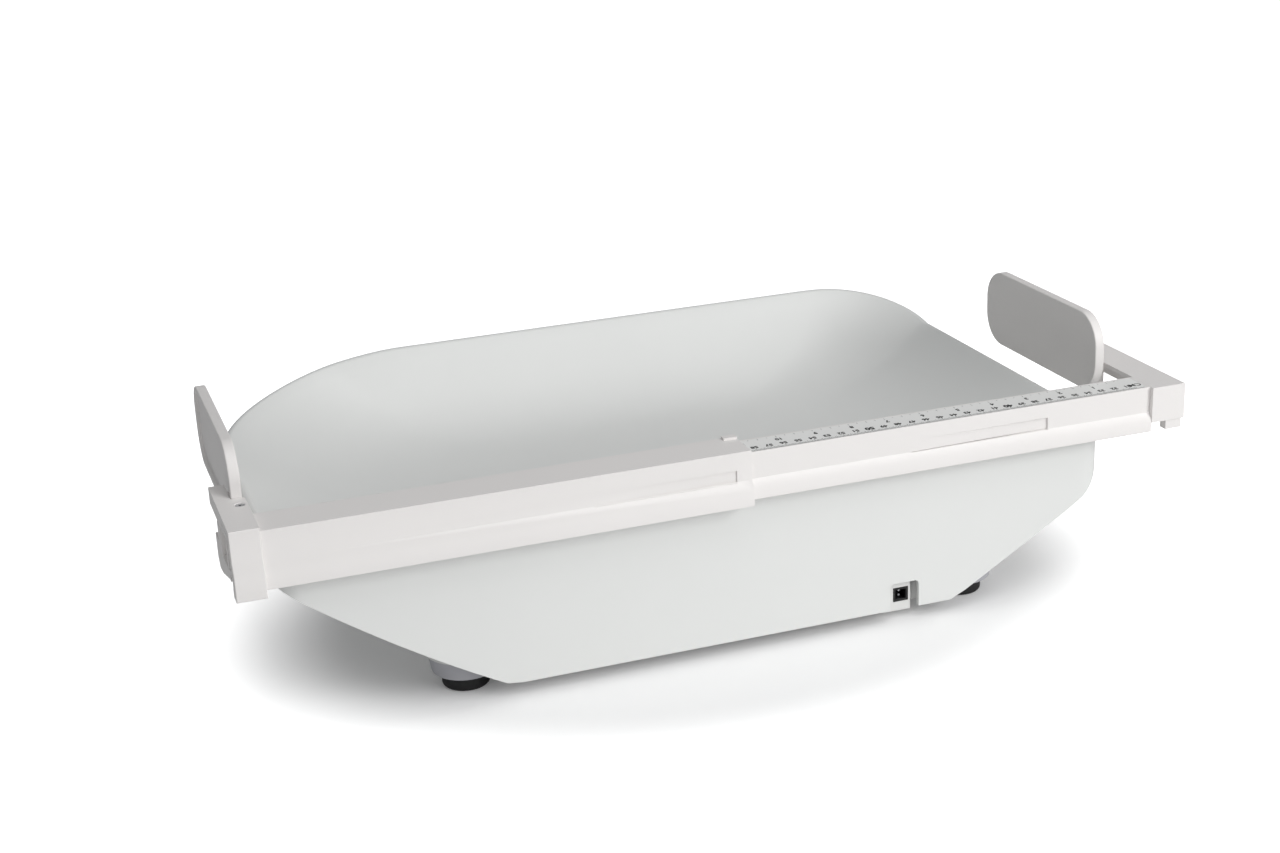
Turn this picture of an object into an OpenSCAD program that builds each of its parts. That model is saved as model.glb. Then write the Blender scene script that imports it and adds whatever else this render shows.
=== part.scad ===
// Digital baby weighing scale with a sliding measuring rod.
// +X points to the head end, -Y to the operator's display, +Y to the measuring rod.
// The origin lies on the floor, under the middle of the scale.

/* [Tray] */
// Reach of the tray from the origin to its head end
tray_head_reach = 295; // [285:1:300]
// Reach of the tray from the origin to its foot end
tray_foot_reach = 268; // [262:1:272]
// Depth of the tray from the display side to the rod side
tray_depth = 330; // [322:1:340]
// Height of the rim along both long sides
rim_height = 138.7; // [134:0.1:144]
// Height of the rolled lip at the two ends
lip_height = 120; // [114:0.5:122]
// Height of the lying surface at its lowest
floor_height = 80; // [78:0.5:84]
// Wall of the moulded tray
tray_wall = 3; // [2.4:0.1:3.4]
// Radius of the rolled rim
rim_radius = 4; // [3.6:0.1:5]
// Half length of the flat middle of the lying surface
flat_reach = 100; // [92:1:110]
// Lowest edge of the skirt above the floor
skirt_ground = 9; // [8:0.5:12]
// Half length of the straight lower edge of the skirt
skirt_flat = 155; // [150:1:160]

/* [Base] */
// Length of the base housing
base_len = 300; // [290:1:304]
// Room between the tray's outer face and the base housing on both long sides
base_inset = 17; // [14:0.5:20]
// Underside of the base housing above the floor
base_ground = 6; // [5:0.5:7]
// Wall of the base housing
base_wall = 2.5; // [2:0.1:3]
// Height of the top of the base housing walls
base_top = 52; // [50:0.5:53]
// Distance between the left and right feet
foot_pitch_x = 352; // [344:1:356]
// Distance from a foot's middle to the base housing's long side
foot_in = 17; // [14:0.5:20]
// Diameter of the rubber feet
foot_d = 31; // [28:0.5:34]
// Diameter of the grey collar above each foot
collar_d = 48; // [44:0.5:50]

/* [Load cell] */
// Length of the aluminium load cell
cell_len = 130; // [120:1:140]
// Width of the load cell
cell_w = 30; // [26:1:34]
// Height of the load cell
cell_h = 22; // [20:0.5:22.5]
// Bore of the load cell's screw holes
cell_screw_d = 6; // [5:0.5:7]

/* [Console] */
// Width of the display console
console_w = 186; // [180:1:196]
// Backward lean of the console face in degrees
console_lean = 20; // [16:1:22]
// Width of the display window
window_w = 104; // [96:1:108]
// Height of the display window
window_h = 36; // [30:1:38]
// Width of one key
key_w = 22; // [16:0.5:26]
// Height of one key
key_h = 10; // [8:0.5:11]
// Travel of a key
key_travel = 1; // [0.6:0.1:1.2]

/* [Power inlet] */
// Side of the square inlet socket
inlet_w = 11; // [10:0.5:12]
// Middle of the inlet along the rear side
inlet_x = -118.5; // [-121:0.5:-114]

/* [Measuring rod] */
// Width of the fixed rail
rail_w = 24; // [23:0.5:26]
// Length of the fixed rail
rail_len = 615; // [608:1:620]
// Drop of the rail's front wall below its top
rail_drop = 31; // [29:0.5:33]
// Plate thickness of the rail's top
rail_plate = 3; // [2.6:0.1:3.4]
// Wall of the sliding sleeve
sleeve_wall = 1.8; // [1.6:0.1:2.4]
// Running clearance between sleeve and rail
slide_gap = 0.3; // [0.2:0.05:0.4]
// Length of the sliding sleeve without its head block
sleeve_len = 307.5; // [300:0.5:312]
// Distance between the two paddles at rest
reading = 586; // [580:1:588]
// Distance from the tray's foot end to the foot paddle
foot_paddle_gap = 15; // [12:0.5:18]
// Length of a paddle
paddle_len = 154; // [146:1:160]
// Height of a paddle
paddle_h = 55; // [50:1:60]
// Thickness of a paddle
paddle_t = 7; // [6:0.5:8]
// Corner radius of a paddle
paddle_r = 22; // [18:1:25]

/* [Hidden] */
eps = 0.01;
seat_gap = 0.3;

white = "whitesmoke";
grey = "silver";
steel = "lightsteelblue";
black = "#222222";

// ---------------------------------------------------------------- tray outline
half_depth = tray_depth / 2;
rear_corner = 16;
head_corner = [107, 142];
foot_corner = [68, 72];
notch_half = console_w / 2 + 6;
notch_top = 74;
inlet_half = 10.5;
inlet_top = 28;
edge_step = 0.4;

function arc_steps(from, to, count) = [for (i = [0:count]) from + (to - from) * i / count];
function inner_steps(from, to, count) = [for (i = [1:count - 1]) from + (to - from) * i / count];
function corner_station(c, r, a) =
    let (m = [cos(a) / r[0], sin(a) / r[1]])
    [c[0] + r[0] * cos(a), c[1] + r[1] * sin(a), m[0] / norm(m), m[1] / norm(m)];
function side_stations(xs, y, ny) = [for (x = xs) [x, y, 0, ny]];
function end_stations(x, ys, nx) = [for (y = ys) [x, y, nx, 0]];

notch_side = (notch_half + skirt_flat) / 2;
inlet_side = inlet_half + edge_step;
front_xs = concat([-skirt_flat - 5, -notch_side, -notch_half - edge_step],
    arc_steps(-notch_half, notch_half, 4), [notch_half + edge_step, notch_side, skirt_flat]);
rear_xs = concat(
    inner_steps(tray_head_reach - rear_corner, skirt_flat, 8),
    arc_steps(skirt_flat, inlet_x + inlet_side, 5),
    [inlet_x + inlet_half, inlet_x + inlet_half - 2, inlet_x - inlet_half + 2, inlet_x - inlet_half,
        inlet_x - inlet_side, -skirt_flat],
    inner_steps(-skirt_flat, -tray_foot_reach + rear_corner, 5));
stations = concat(
    side_stations(concat([-tray_foot_reach + foot_corner[0]], front_xs), -half_depth, -1),
    [for (a = arc_steps(-90, 0, 13))
        corner_station([tray_head_reach - head_corner[0], -half_depth + head_corner[1]], head_corner, a)],
    end_stations(tray_head_reach, inner_steps(-half_depth + head_corner[1], half_depth - rear_corner, 4), 1),
    [for (a = arc_steps(0, 90, 5))
        corner_station([tray_head_reach - rear_corner, half_depth - rear_corner],
            [rear_corner, rear_corner], a)],
    side_stations(rear_xs, half_depth, 1),
    [for (a = arc_steps(90, 180, 5))
        corner_station([-tray_foot_reach + rear_corner, half_depth - rear_corner],
            [rear_corner, rear_corner], a)],
    end_stations(-tray_foot_reach,
        inner_steps(half_depth - rear_corner, -half_depth + foot_corner[1], 5), -1),
    [for (a = arc_steps(180, 264, 11))
        corner_station([-tray_foot_reach + foot_corner[0], -half_depth + foot_corner[1]], foot_corner, a)]);
station_count = len(stations);

// Rim height falls from the long sides to the lip, slowly at the head end and late at the foot end
rim_fall = rim_height - lip_height;
head_ease = [140, tray_head_reach - 10];
foot_ease = [185, tray_foot_reach];
function clamp01(u) = min(1, max(0, u));
function smooth(u) = u * u * (3 - 2 * u);
function foot_share(x) = clamp01((-x - foot_ease[0]) / (foot_ease[1] - foot_ease[0]));
function rim_z(x) = x > 0
    ? rim_height - rim_fall * smooth(clamp01((x - head_ease[0]) / (head_ease[1] - head_ease[0])))
    : rim_height - rim_fall * (1 - sqrt(1 - pow(foot_share(x), 2)));

// Lower edge of the skirt: flat in the middle, rising to both ends, with two notches
head_slope = 0.53;
head_bend = 0.00087;
foot_slope = 0.58;
foot_turn = 23;
foot_turn_rise = 20;
function head_edge(d) = skirt_ground + head_slope * d + head_bend * d * d;
function foot_edge(d, turn) = skirt_ground + foot_slope * d
    + foot_turn_rise * (1 - sqrt(1 - pow(clamp01(turn / foot_turn), 2)));
function skirt_curve(x) = x > 0
    ? head_edge(max(0, x - skirt_flat))
    : foot_edge(max(0, -x - skirt_flat), -x - tray_foot_reach + foot_turn);
function in_console(s) = s[1] < 0 && abs(s[0]) <= notch_half;
function in_inlet(s) = s[1] > 0 && abs(s[0] - inlet_x) <= inlet_half;
function inlet_arch(s) = abs(s[0] - inlet_x) > inlet_half - 1 ? inlet_top - 2 : inlet_top;
function skirt_z(s) = in_console(s) ? notch_top : in_inlet(s) ? inlet_arch(s) : skirt_curve(s[0]);

// Lying surface: a flat middle that climbs as a parabola to the rolled rim
flat_share = flat_reach / tray_head_reach;
rise_power = 3;
dish_rings = 9;
roll_rings = 4;
function reach_of(s) = s[0] * s[2] + s[1] * s[3];
function rim_slope(s) = rise_power * (rim_z(s[0]) - rim_radius - floor_height)
    / ((1 - flat_share) * reach_of(s));
function roll_start(s) = 90 + atan(rim_slope(s));
function roll_point(s, r, a) = [
    s[0] + s[2] * (r * cos(a) - rim_radius),
    s[1] + s[3] * (r * cos(a) - rim_radius),
    rim_z(s[0]) - rim_radius + r * sin(a)];
function dish_point(s, u) = let (
        edge = roll_point(s, rim_radius, roll_start(s)),
        share = flat_share + (1 - flat_share) * u)
    [edge[0] * share, edge[1] * share, floor_height + (edge[2] - floor_height) * pow(u, rise_power)];
function under_point(s, u) = let (p = dish_point(s, u), m = rim_slope(s) * u)
    [p[0], p[1], p[2] - tray_wall * sqrt(1 + m * m)];

inner_roll = rim_radius - tray_wall;
rings = concat(
    [for (j = [0:dish_rings]) [for (s = stations) dish_point(s, j / dish_rings)]],
    [for (k = [1:roll_rings]) [for (s = stations)
        roll_point(s, rim_radius, roll_start(s) * (1 - k / roll_rings))]],
    [[for (s = stations) [s[0], s[1], skirt_z(s)]]],
    [[for (s = stations) [s[0] - s[2] * tray_wall, s[1] - s[3] * tray_wall, skirt_z(s)]]],
    [for (k = [0:2]) [for (s = stations) roll_point(s, inner_roll, roll_start(s) * k / 2)]],
    [for (j = [dish_rings - 1:-1:0]) [for (s = stations) under_point(s, j / dish_rings)]]);
ring_count = len(rings);

module tray_shell() {
    points = [for (r = rings) for (p = r) p];
    n = station_count;
    last = (ring_count - 1) * n;
    side_faces = [for (r = [0:ring_count - 2]) for (i = [0:n - 1]) for (half = [0:1])
        let (a = r * n + i, b = r * n + (i + 1) % n, c = a + n, d = b + n)
        half == 0 ? [a, c, b] : [b, c, d]];
    top_face = [[for (i = [0:n - 1]) i]];
    bottom_face = [[for (i = [n - 1:-1:0]) last + i]];
    color(white) polyhedron(points = points, faces = concat(top_face, side_faces, bottom_face));
}

// ---------------------------------------------------------------- inner stack
underside = floor_height - tray_wall;
frame_t = 4;
frame_len = 180;
frame_w = 96;
spacer_t = 3;
cell_top = underside - frame_t - spacer_t;
cell_bottom = cell_top - cell_h;
chassis_t = 2;
chassis_top = cell_bottom - spacer_t;
chassis_z = chassis_top - chassis_t;
chassis_len = 200;
chassis_w = 120;
spacer_len = 40;
cell_hole_end = 12;
cell_hole_pitch = 25;
cell_hole_x = cell_len / 2 - cell_hole_end;
cell_hole_in = cell_hole_x - cell_hole_pitch;
cell_mid_x = (cell_hole_in + cell_hole_x) / 2;
waist_d = 14;
waist_x = 7.6;
post_in = 10;
post_x = chassis_len / 2 - post_in;
post_y = chassis_w / 2 - post_in;
post_d = 12;
hole_gap = 0.1;
clear_gap = 0.6;
cell_head_d = 10;
cell_head_t = 2.6;
cell_bite = 14;
m4 = 4;
m4_head_d = 7;
m4_head_t = 2.4;
m3 = 3;
m3_head_d = 5.6;
m3_head_t = 1.8;
screw_bite = 9;

module rounded_slab(size, r, z) {
    translate([0, 0, z]) linear_extrude(size[2])
        offset(r = r, $fn = 48) square([size[0] - 2 * r, size[1] - 2 * r], center = true);
}

module box(size, z) {
    translate([-size[0] / 2, -size[1] / 2, z]) cube(size);
}

module at_corners(x, y) {
    for (sx = [-1, 1]) for (sy = [-1, 1]) translate([sx * x, sy * y, 0]) children();
}

module upright(d, z0, z1) {
    translate([0, 0, z0]) cylinder(d = d, h = z1 - z0, $fn = 48);
}

// A screw whose head stands on z = 0 and whose shaft points down
module screw(d, head_d, head_t, length) {
    difference() {
        union() {
            cylinder(d = head_d, h = head_t, $fn = 48);
            translate([0, 0, -length]) cylinder(d = d, h = length + head_t / 2, $fn = 32);
        }
        translate([0, 0, head_t / 2]) cylinder(d = head_d * 0.45, h = head_t, $fn = 6);
    }
}

module upper_cell_holes() {
    for (x = [cell_hole_in, cell_hole_x]) translate([x, 0, 0]) children();
}

// Plate bonded under the lying surface, with pockets for the heads of the upper cell screws
module tray_underframe() {
    color(white) difference() {
        rounded_slab([frame_len, frame_w, frame_t], 8, underside - frame_t);
        upper_cell_holes() upright(cell_screw_d + clear_gap, underside - frame_t - eps, underside);
        upper_cell_holes()
            upright(cell_head_d + clear_gap, underside - cell_head_t - hole_gap, underside + eps);
    }
}

module cell_top_spacer() {
    color(steel) difference() {
        translate([cell_mid_x, 0, 0]) box([spacer_len, cell_w, spacer_t], cell_top);
        upper_cell_holes() upright(cell_screw_d + clear_gap, cell_top - eps, cell_top + spacer_t + eps);
    }
}

// Aluminium single-point load cell with the double waist bore that bends under load
module load_cell() {
    color(grey) difference() {
        box([cell_len, cell_w, cell_h], cell_bottom);
        for (x = [-waist_x, waist_x]) translate([x, cell_w / 2 + eps, cell_bottom + cell_h / 2])
            rotate([90, 0, 0]) cylinder(d = waist_d, h = cell_w + 2 * eps, $fn = 48);
        upper_cell_holes() upright(cell_screw_d + hole_gap, cell_bottom - eps, cell_top + eps);
        mirror([1, 0, 0]) upper_cell_holes()
            upright(cell_screw_d + hole_gap, cell_bottom - eps, cell_top + eps);
    }
}

module cell_bottom_spacer() {
    color(steel) difference() {
        translate([-cell_mid_x, 0, 0]) box([spacer_len, cell_w, spacer_t], chassis_top);
        mirror([1, 0, 0]) upper_cell_holes()
            upright(cell_screw_d + clear_gap, chassis_top - eps, cell_bottom + eps);
    }
}

module cell_screws() {
    color(steel) {
        upper_cell_holes() translate([0, 0, underside - cell_head_t])
            screw(cell_screw_d, cell_head_d, cell_head_t - hole_gap,
                frame_t - cell_head_t + spacer_t + cell_bite);
        mirror([1, 0, 0]) upper_cell_holes() translate([0, 0, chassis_z]) mirror([0, 0, 1])
            screw(cell_screw_d, cell_head_d, cell_head_t, chassis_t + spacer_t + cell_bite);
    }
}

module chassis_plate() {
    color(steel) difference() {
        rounded_slab([chassis_len, chassis_w, chassis_t], 6, chassis_z);
        mirror([1, 0, 0]) upper_cell_holes()
            upright(cell_screw_d + clear_gap, chassis_z - eps, chassis_top + eps);
        at_corners(post_x, post_y) upright(m4 + clear_gap, chassis_z - eps, chassis_top + eps);
    }
}

module chassis_screws() {
    color(steel) at_corners(post_x, post_y) translate([0, 0, chassis_top])
        screw(m4, m4_head_d, m4_head_t, chassis_t + screw_bite);
}

// ---------------------------------------------------------------- base
foot_x = foot_pitch_x / 2;
half_base_depth = half_depth - base_inset;
base_depth = 2 * half_base_depth;
foot_y = half_base_depth - foot_in;
pod_wall = 1.5;
pod_d = collar_d + 2 * pod_wall;
collar_z = 11;
collar_top = 24;
collar_taper = 5;
foot_stem_d = 14;
foot_screw_d = 5;
foot_chamfer = 1.5;
base_floor = base_ground + base_wall;
base_r = 20;
cover_t = 2.5;
cover_opening = [150, 60];
boss_d = 9;
cover_boss_in = [15, 23];
cover_boss_x = base_len / 2 - cover_boss_in[0];
cover_boss_y = half_base_depth - cover_boss_in[1];
cover_bite = 12;

module base_plan(inset) {
    offset(r = base_r - inset, $fn = 48)
        square([base_len - 2 * base_r, base_depth - 2 * base_r], center = true);
}

// Corner pods that carry the feet, run back over the main body
pod_run = 60;
module pod_plan(inset) {
    at_corners(foot_x - pod_run / 2, foot_y)
        offset(r = pod_d / 2 - inset, $fn = 48) square([pod_run, eps], center = true);
}

// Battery bay
cell_d = 14.2;
cell_body = 50;
bay_cells = 4;
bay_pitch = cell_d + 0.5;
bay_x = 20;
bay_len = 56;
bay_w = bay_pitch * bay_cells + 1.2;
bay_roof = 26;
lid_t = 2;
lid_gap = 0.3;
cell_z = base_ground + lid_t + lid_gap + cell_d / 2;
function cell_row(k) = (k - (bay_cells - 1) / 2) * bay_pitch;

// Inlet pod behind the rear notch
pod_face = half_depth - tray_wall - 2;
pod_roof = 36;
inlet_h = 10;
inlet_z = 17.5;
socket_x = inlet_x + 0.5;
pod_from = socket_x - 7;
pod_to = socket_x + 13;
inlet_depth = 14;
pin_d = 1.4;
pin_half = 1.7;

// Main circuit board
board_t = 1.6;
board_size = [110, 54];
board_at = [-20, 95];
board_z = 20;
board_hole_in = 5;
board_boss_d = 7;
m25 = 2.5;
m25_head_d = 4.6;
m25_head_t = 1.6;
board_bite = 6;

ribbon_x = board_at[0] - board_size[0] / 2 + 11;
ribbon_w = 18;
ribbon_t = 0.5;
ribbon_z = 25.5;
plug_in = 3;
plug_size = [ribbon_w + 4, 5, 2];
plug_y = board_at[1] - board_size[1] / 2 + plug_in;

module board_corners() {
    for (sx = [-1, 1]) for (sy = [-1, 1])
        translate([board_at[0] + sx * (board_size[0] / 2 - board_hole_in),
            board_at[1] + sy * (board_size[1] / 2 - board_hole_in), 0]) children();
}

module base_housing() {
    color(white) difference() {
        union() {
            difference() {
                translate([0, 0, base_ground]) linear_extrude(base_top - base_ground) base_plan(0);
                translate([0, 0, base_floor]) linear_extrude(base_top) base_plan(base_wall);
            }
            at_corners(post_x, post_y) upright(post_d, base_ground, chassis_z);
            at_corners(cover_boss_x, cover_boss_y) upright(boss_d, base_ground, base_top);
            board_corners() upright(board_boss_d, base_ground, board_z);
            translate([bay_x, 0, 0])
                box([bay_len + 2 * base_wall, bay_w + 2 * base_wall, bay_roof + base_wall - base_ground],
                    base_ground);
            translate([pod_from, half_base_depth - base_wall, base_ground])
                cube([pod_to - pod_from, pod_face - half_base_depth + base_wall, pod_roof - base_ground]);
        }
        at_corners(post_x, post_y) upright(m4 + hole_gap, chassis_z - screw_bite - 1, chassis_z + eps);
        at_corners(cover_boss_x, cover_boss_y)
            upright(m3 + hole_gap, base_top - cover_bite - 1, base_top + eps);
        board_corners() upright(m25 + hole_gap, board_z - board_bite - 1, board_z + eps);
        translate([bay_x, 0, 0]) box([bay_len, bay_w, bay_roof - base_ground + eps], base_ground - eps);
        translate([socket_x - inlet_w / 2 - hole_gap, half_base_depth - 2 * base_wall,
            inlet_z - inlet_h / 2 - hole_gap])
            cube([inlet_w + 2 * hole_gap, pod_face, inlet_h + 2 * hole_gap]);
        translate([ribbon_x - 1, -half_base_depth - eps, ribbon_z - 3])
            cube([ribbon_w + 2, 2 * base_wall, 6]);
        for (x = [-console_screw_x, console_screw_x])
            translate([x, -half_base_depth + base_wall + eps, console_screw_z])
                rotate([90, 0, 0]) cylinder(d = m3 + clear_gap, h = 2 * base_wall, $fn = 48);
    }
}

// The part of a pod's plan that stands clear of the base's side wall
module pod_outside(inset) {
    difference() {
        pod_plan(inset);
        square([base_len + 2 * inset, 2 * half_depth], center = true);
    }
}

// Cups beside the base at its corners, one over each foot
module foot_pods() {
    color(white) difference() {
        translate([0, 0, collar_top]) linear_extrude(base_top - collar_top) pod_outside(0);
        translate([0, 0, collar_top + base_wall]) linear_extrude(base_top) pod_outside(base_wall);
        at_corners(foot_x, foot_y)
            upright(foot_screw_d + hole_gap, collar_top - eps, collar_top + base_wall + eps);
    }
}

module base_cover() {
    color(white) difference() {
        translate([0, 0, base_top]) linear_extrude(cover_t) {
            base_plan(0);
            pod_plan(0);
        }
        box([cover_opening[0], cover_opening[1], 2 * cover_t], base_top - eps);
        at_corners(cover_boss_x, cover_boss_y)
            upright(m3 + clear_gap, base_top - eps, base_top + cover_t + eps);
    }
}

module cover_screws() {
    color(steel) at_corners(cover_boss_x, cover_boss_y) translate([0, 0, base_top + cover_t])
        screw(m3, m3_head_d, m3_head_t, cover_t + cover_bite);
}

// Grey collars that taper down to the rubber feet
module foot_collars() {
    color(grey) at_corners(foot_x, foot_y) translate([0, 0, collar_z]) difference() {
        cylinder(d1 = collar_d - collar_taper, d2 = collar_d, h = collar_top - collar_z, $fn = 64);
        translate([0, 0, -eps]) cylinder(d = foot_stem_d + hole_gap, h = collar_top, $fn = 48);
    }
}

module rubber_feet() {
    color(black) at_corners(foot_x, foot_y) {
        upright(foot_d, foot_chamfer, collar_z);
        cylinder(d1 = foot_d - 3, d2 = foot_d, h = foot_chamfer, $fn = 48);
        upright(foot_stem_d, collar_z - eps, collar_top);
        upright(foot_screw_d, collar_top - eps, collar_top + base_wall + 3);
    }
}

module power_inlet() {
    color(black) difference() {
        translate([socket_x - inlet_w / 2, pod_face - inlet_depth, inlet_z - inlet_h / 2])
            cube([inlet_w, inlet_depth, inlet_h]);
        translate([socket_x - inlet_w / 2 + 1.6, pod_face - inlet_depth + 3, inlet_z - inlet_h / 2 + 1.6])
            cube([inlet_w - 3.2, inlet_depth, inlet_h - 3.2]);
        for (h = [-pin_half, pin_half]) translate([socket_x, pod_face - inlet_depth + 3 + eps, inlet_z + h])
            rotate([90, 0, 0]) cylinder(d = pin_d, h = 3, $fn = 32);
    }
}

module inlet_pins() {
    color(steel) for (h = [-pin_half, pin_half]) translate([socket_x, pod_face - 3, inlet_z + h])
        rotate([90, 0, 0]) cylinder(d = pin_d, h = inlet_depth - 1, $fn = 32);
}

module main_board() {
    color("darkgreen") {
        difference() {
            translate([board_at[0], board_at[1], 0]) box([board_size[0], board_size[1], board_t], board_z);
            board_corners() upright(m25 + clear_gap, board_z - eps, board_z + board_t + eps);
        }
        translate([board_at[0] - 20, board_at[1], board_z + board_t]) cube([12, 12, 1.8]);
        translate([board_at[0] + 15, board_at[1] + 4, board_z + board_t]) cube([16, 8, 2.2]);
        translate([ribbon_x - 2, plug_y, board_z + board_t]) cube(plug_size);
    }
}

module board_screws() {
    color(steel) board_corners() translate([0, 0, board_z + board_t])
        screw(m25, m25_head_d, m25_head_t, board_t + board_bite);
}

module battery_cells() {
    color("goldenrod") for (k = [0:bay_cells - 1])
        translate([bay_x - bay_len / 2 + 3, cell_row(k), cell_z]) rotate([0, 90, 0]) {
            cylinder(d = cell_d, h = cell_body, $fn = 48);
            translate([0, 0, cell_body - eps]) cylinder(d = 5.5, h = 1.5, $fn = 32);
        }
}

module battery_contacts() {
    contact_h = 12;
    color(steel) for (k = [0:bay_cells - 1])
        translate([bay_x, cell_row(k), cell_z]) {
            translate([-bay_len / 2, -contact_h / 2, -contact_h / 2]) cube([0.5, contact_h, contact_h]);
            translate([-bay_len / 2 + 0.5 - eps, 0, 0]) rotate([0, 90, 0])
                cylinder(d1 = 9, d2 = 5, h = 2.4, $fn = 32);
            translate([bay_len / 2 - 1.2, -contact_h / 2, -contact_h / 2]) cube([1.2, contact_h, contact_h]);
        }
}

// Lid that unclips downwards
module battery_lid() {
    color(white) difference() {
        translate([bay_x, 0, 0]) box([bay_len - 2 * lid_gap, bay_w - 2 * lid_gap, lid_t], base_ground);
        translate([bay_x + bay_len / 2 - 8, -7, base_ground - eps]) cube([4, 14, 1]);
    }
}

// ---------------------------------------------------------------- console
console_back = -half_base_depth;
console_reach = 19.5;
face_foot = [-half_depth - console_reach, 13];

face_h = 56;
face_top = [face_foot[0] + face_h * sin(console_lean), face_foot[1] + face_h * cos(console_lean)];
face_mid = (face_foot + face_top) / 2;
console_wall = 2.5;
console_bottom = 8;
console_roof = face_top[1] + 3;
console_screw_x = console_w / 2 - 13;
console_screw_z = 30;
console_screw_len = 10;
web_len = console_w / 2 - console_wall / 2 - console_screw_x;
web_mid = console_screw_x + web_len / 2;
window_side = 15;
window_x = -console_w / 2 + window_side + window_w / 2;
window_t = 1.6;
window_ledge = 4;
key_side = 35;
key_x = console_w / 2 - key_side;
key_pitch = 17;
key_gap = 0.3;
key_proud = 1.2;
flange = 1.2;
lcd_t = 3;
lcd_gap = 0.3;
dboard = [console_w - 18, face_h - 10];
dboard_y = 6.2;
dboard_hole = [dboard[0] / 2 - 4, dboard[1] / 2 - 4];
switch_h = dboard_y - console_wall - key_gap - flange - key_travel - hole_gap;

module on_face() {
    translate([0, face_mid[0], face_mid[1]]) rotate([-console_lean, 0, 0]) children();
}

// A block on the leaning face: across x0..x1, up z0..z1, behind the face from y0 to y1
module face_block(x0, x1, y0, y1, z0, z1) {
    translate([x0, y0, z0]) cube([x1 - x0, y1 - y0, z1 - z0]);
}

module console_profile(width) {
    translate([-width / 2, 0, 0]) rotate([90, 0, 90]) linear_extrude(width) children();
}

module console_side() {
    polygon([[console_back, console_bottom], [face_foot[0] + 5, console_bottom], face_foot, face_top,
        [face_top[0] + 4, console_roof], [console_back, console_roof]]);
}

module console_housing() {
    color(white) difference() {
        union() {
            difference() {
                console_profile(console_w) console_side();
                console_profile(console_w - 2 * console_wall) offset(delta = -console_wall) console_side();
                translate([-console_w / 2 + console_wall, console_back - 2 * console_wall,
                    console_bottom + console_wall]) cube([console_w - 2 * console_wall, 3 * console_wall,
                    console_roof - console_bottom - 2 * console_wall]);
            }
            on_face() for (sx = [-1, 1]) for (sz = [-1, 1])
                translate([sx * dboard_hole[0], console_wall - 1, sz * dboard_hole[1]])
                    rotate([-90, 0, 0]) cylinder(d = 6, h = dboard_y - console_wall + 1, $fn = 48);
            for (x = [-console_screw_x, console_screw_x]) translate([x, console_back, console_screw_z])
                rotate([90, 0, 0]) cylinder(d = 8, h = console_screw_len + 2, $fn = 48);
            for (sx = [-1, 1]) translate([sx * web_mid, console_back - (console_screw_len + 2) / 2, 0])
                box([web_len, console_screw_len + 2, console_wall], console_screw_z - console_wall / 2);
        }
        on_face() face_block(window_x - window_w / 2, window_x + window_w / 2,
            -1, window_t, -window_h / 2, window_h / 2);
        on_face() face_block(window_x - window_w / 2 + window_ledge, window_x + window_w / 2 - window_ledge,
            -1, console_wall + 1, -window_h / 2 + window_ledge, window_h / 2 - window_ledge);
        on_face() for (k = [-1:1]) face_block(key_x - key_w / 2 - key_gap, key_x + key_w / 2 + key_gap,
            -1, console_wall + 1, k * key_pitch - key_h / 2 - key_gap, k * key_pitch + key_h / 2 + key_gap);
        on_face() for (sx = [-1, 1]) for (sz = [-1, 1])
            translate([sx * dboard_hole[0], console_wall + 0.4, sz * dboard_hole[1]])
                rotate([-90, 0, 0]) cylinder(d = m25 + hole_gap, h = dboard_y, $fn = 48);
        for (x = [-console_screw_x, console_screw_x]) translate([x, console_back + eps, console_screw_z])
            rotate([90, 0, 0]) cylinder(d = m3 + hole_gap, h = console_screw_len, $fn = 48);
    }
}

module console_screws() {
    color(steel) {
        for (x = [-console_screw_x, console_screw_x])
            translate([x, console_back + base_wall, console_screw_z]) rotate([-90, 0, 0])
                screw(m3, m3_head_d, m3_head_t, base_wall + console_screw_len - 1);
        on_face() for (sx = [-1, 1]) for (sz = [-1, 1])
            translate([sx * dboard_hole[0], dboard_y + board_t, sz * dboard_hole[1]])
                rotate([-90, 0, 0]) screw(m25, m25_head_d, m25_head_t, board_t + 3);
    }
}

module display_window() {
    color("dimgray") on_face()
        face_block(window_x - window_w / 2 + hole_gap, window_x + window_w / 2 - hole_gap,
        0, window_t, -window_h / 2 + hole_gap, window_h / 2 - hole_gap);
}

module display_module() {
    color("darkseagreen") on_face() face_block(window_x - window_w / 2 + 2, window_x + window_w / 2 - 2,
        console_wall + lcd_gap, console_wall + lcd_gap + lcd_t, -window_h / 2 + 2, window_h / 2 - 2);
}

module display_board() {
    color("darkgreen") on_face() difference() {
        face_block(-dboard[0] / 2, dboard[0] / 2, dboard_y, dboard_y + board_t,
            -dboard[1] / 2, dboard[1] / 2);
        for (sx = [-1, 1]) for (sz = [-1, 1])
            translate([sx * dboard_hole[0], dboard_y - 1, sz * dboard_hole[1]])
                rotate([-90, 0, 0]) cylinder(d = m25 + clear_gap, h = board_t + 2, $fn = 48);
    }
}

// One key: a cap, a retaining flange behind the face and a stem over its switch
module key(z) {
    color(grey) on_face() {
        face_block(key_x - key_w / 2, key_x + key_w / 2, -key_proud, console_wall + key_gap + flange,
            z - key_h / 2, z + key_h / 2);
        face_block(key_x - key_w / 2 - 1, key_x + key_w / 2 + 1, console_wall + key_gap,
            console_wall + key_gap + flange, z - key_h / 2 - 1, z + key_h / 2 + 1);
    }
}

module power_key() {
    key(key_pitch);
}

module tare_key() {
    key(0);
}

module unit_key() {
    key(-key_pitch);
}

module key_switches() {
    color(black) on_face() for (k = [-1:1]) face_block(key_x - 3, key_x + 3,
        dboard_y - switch_h, dboard_y, k * key_pitch - 3, k * key_pitch + 3);
}

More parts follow.
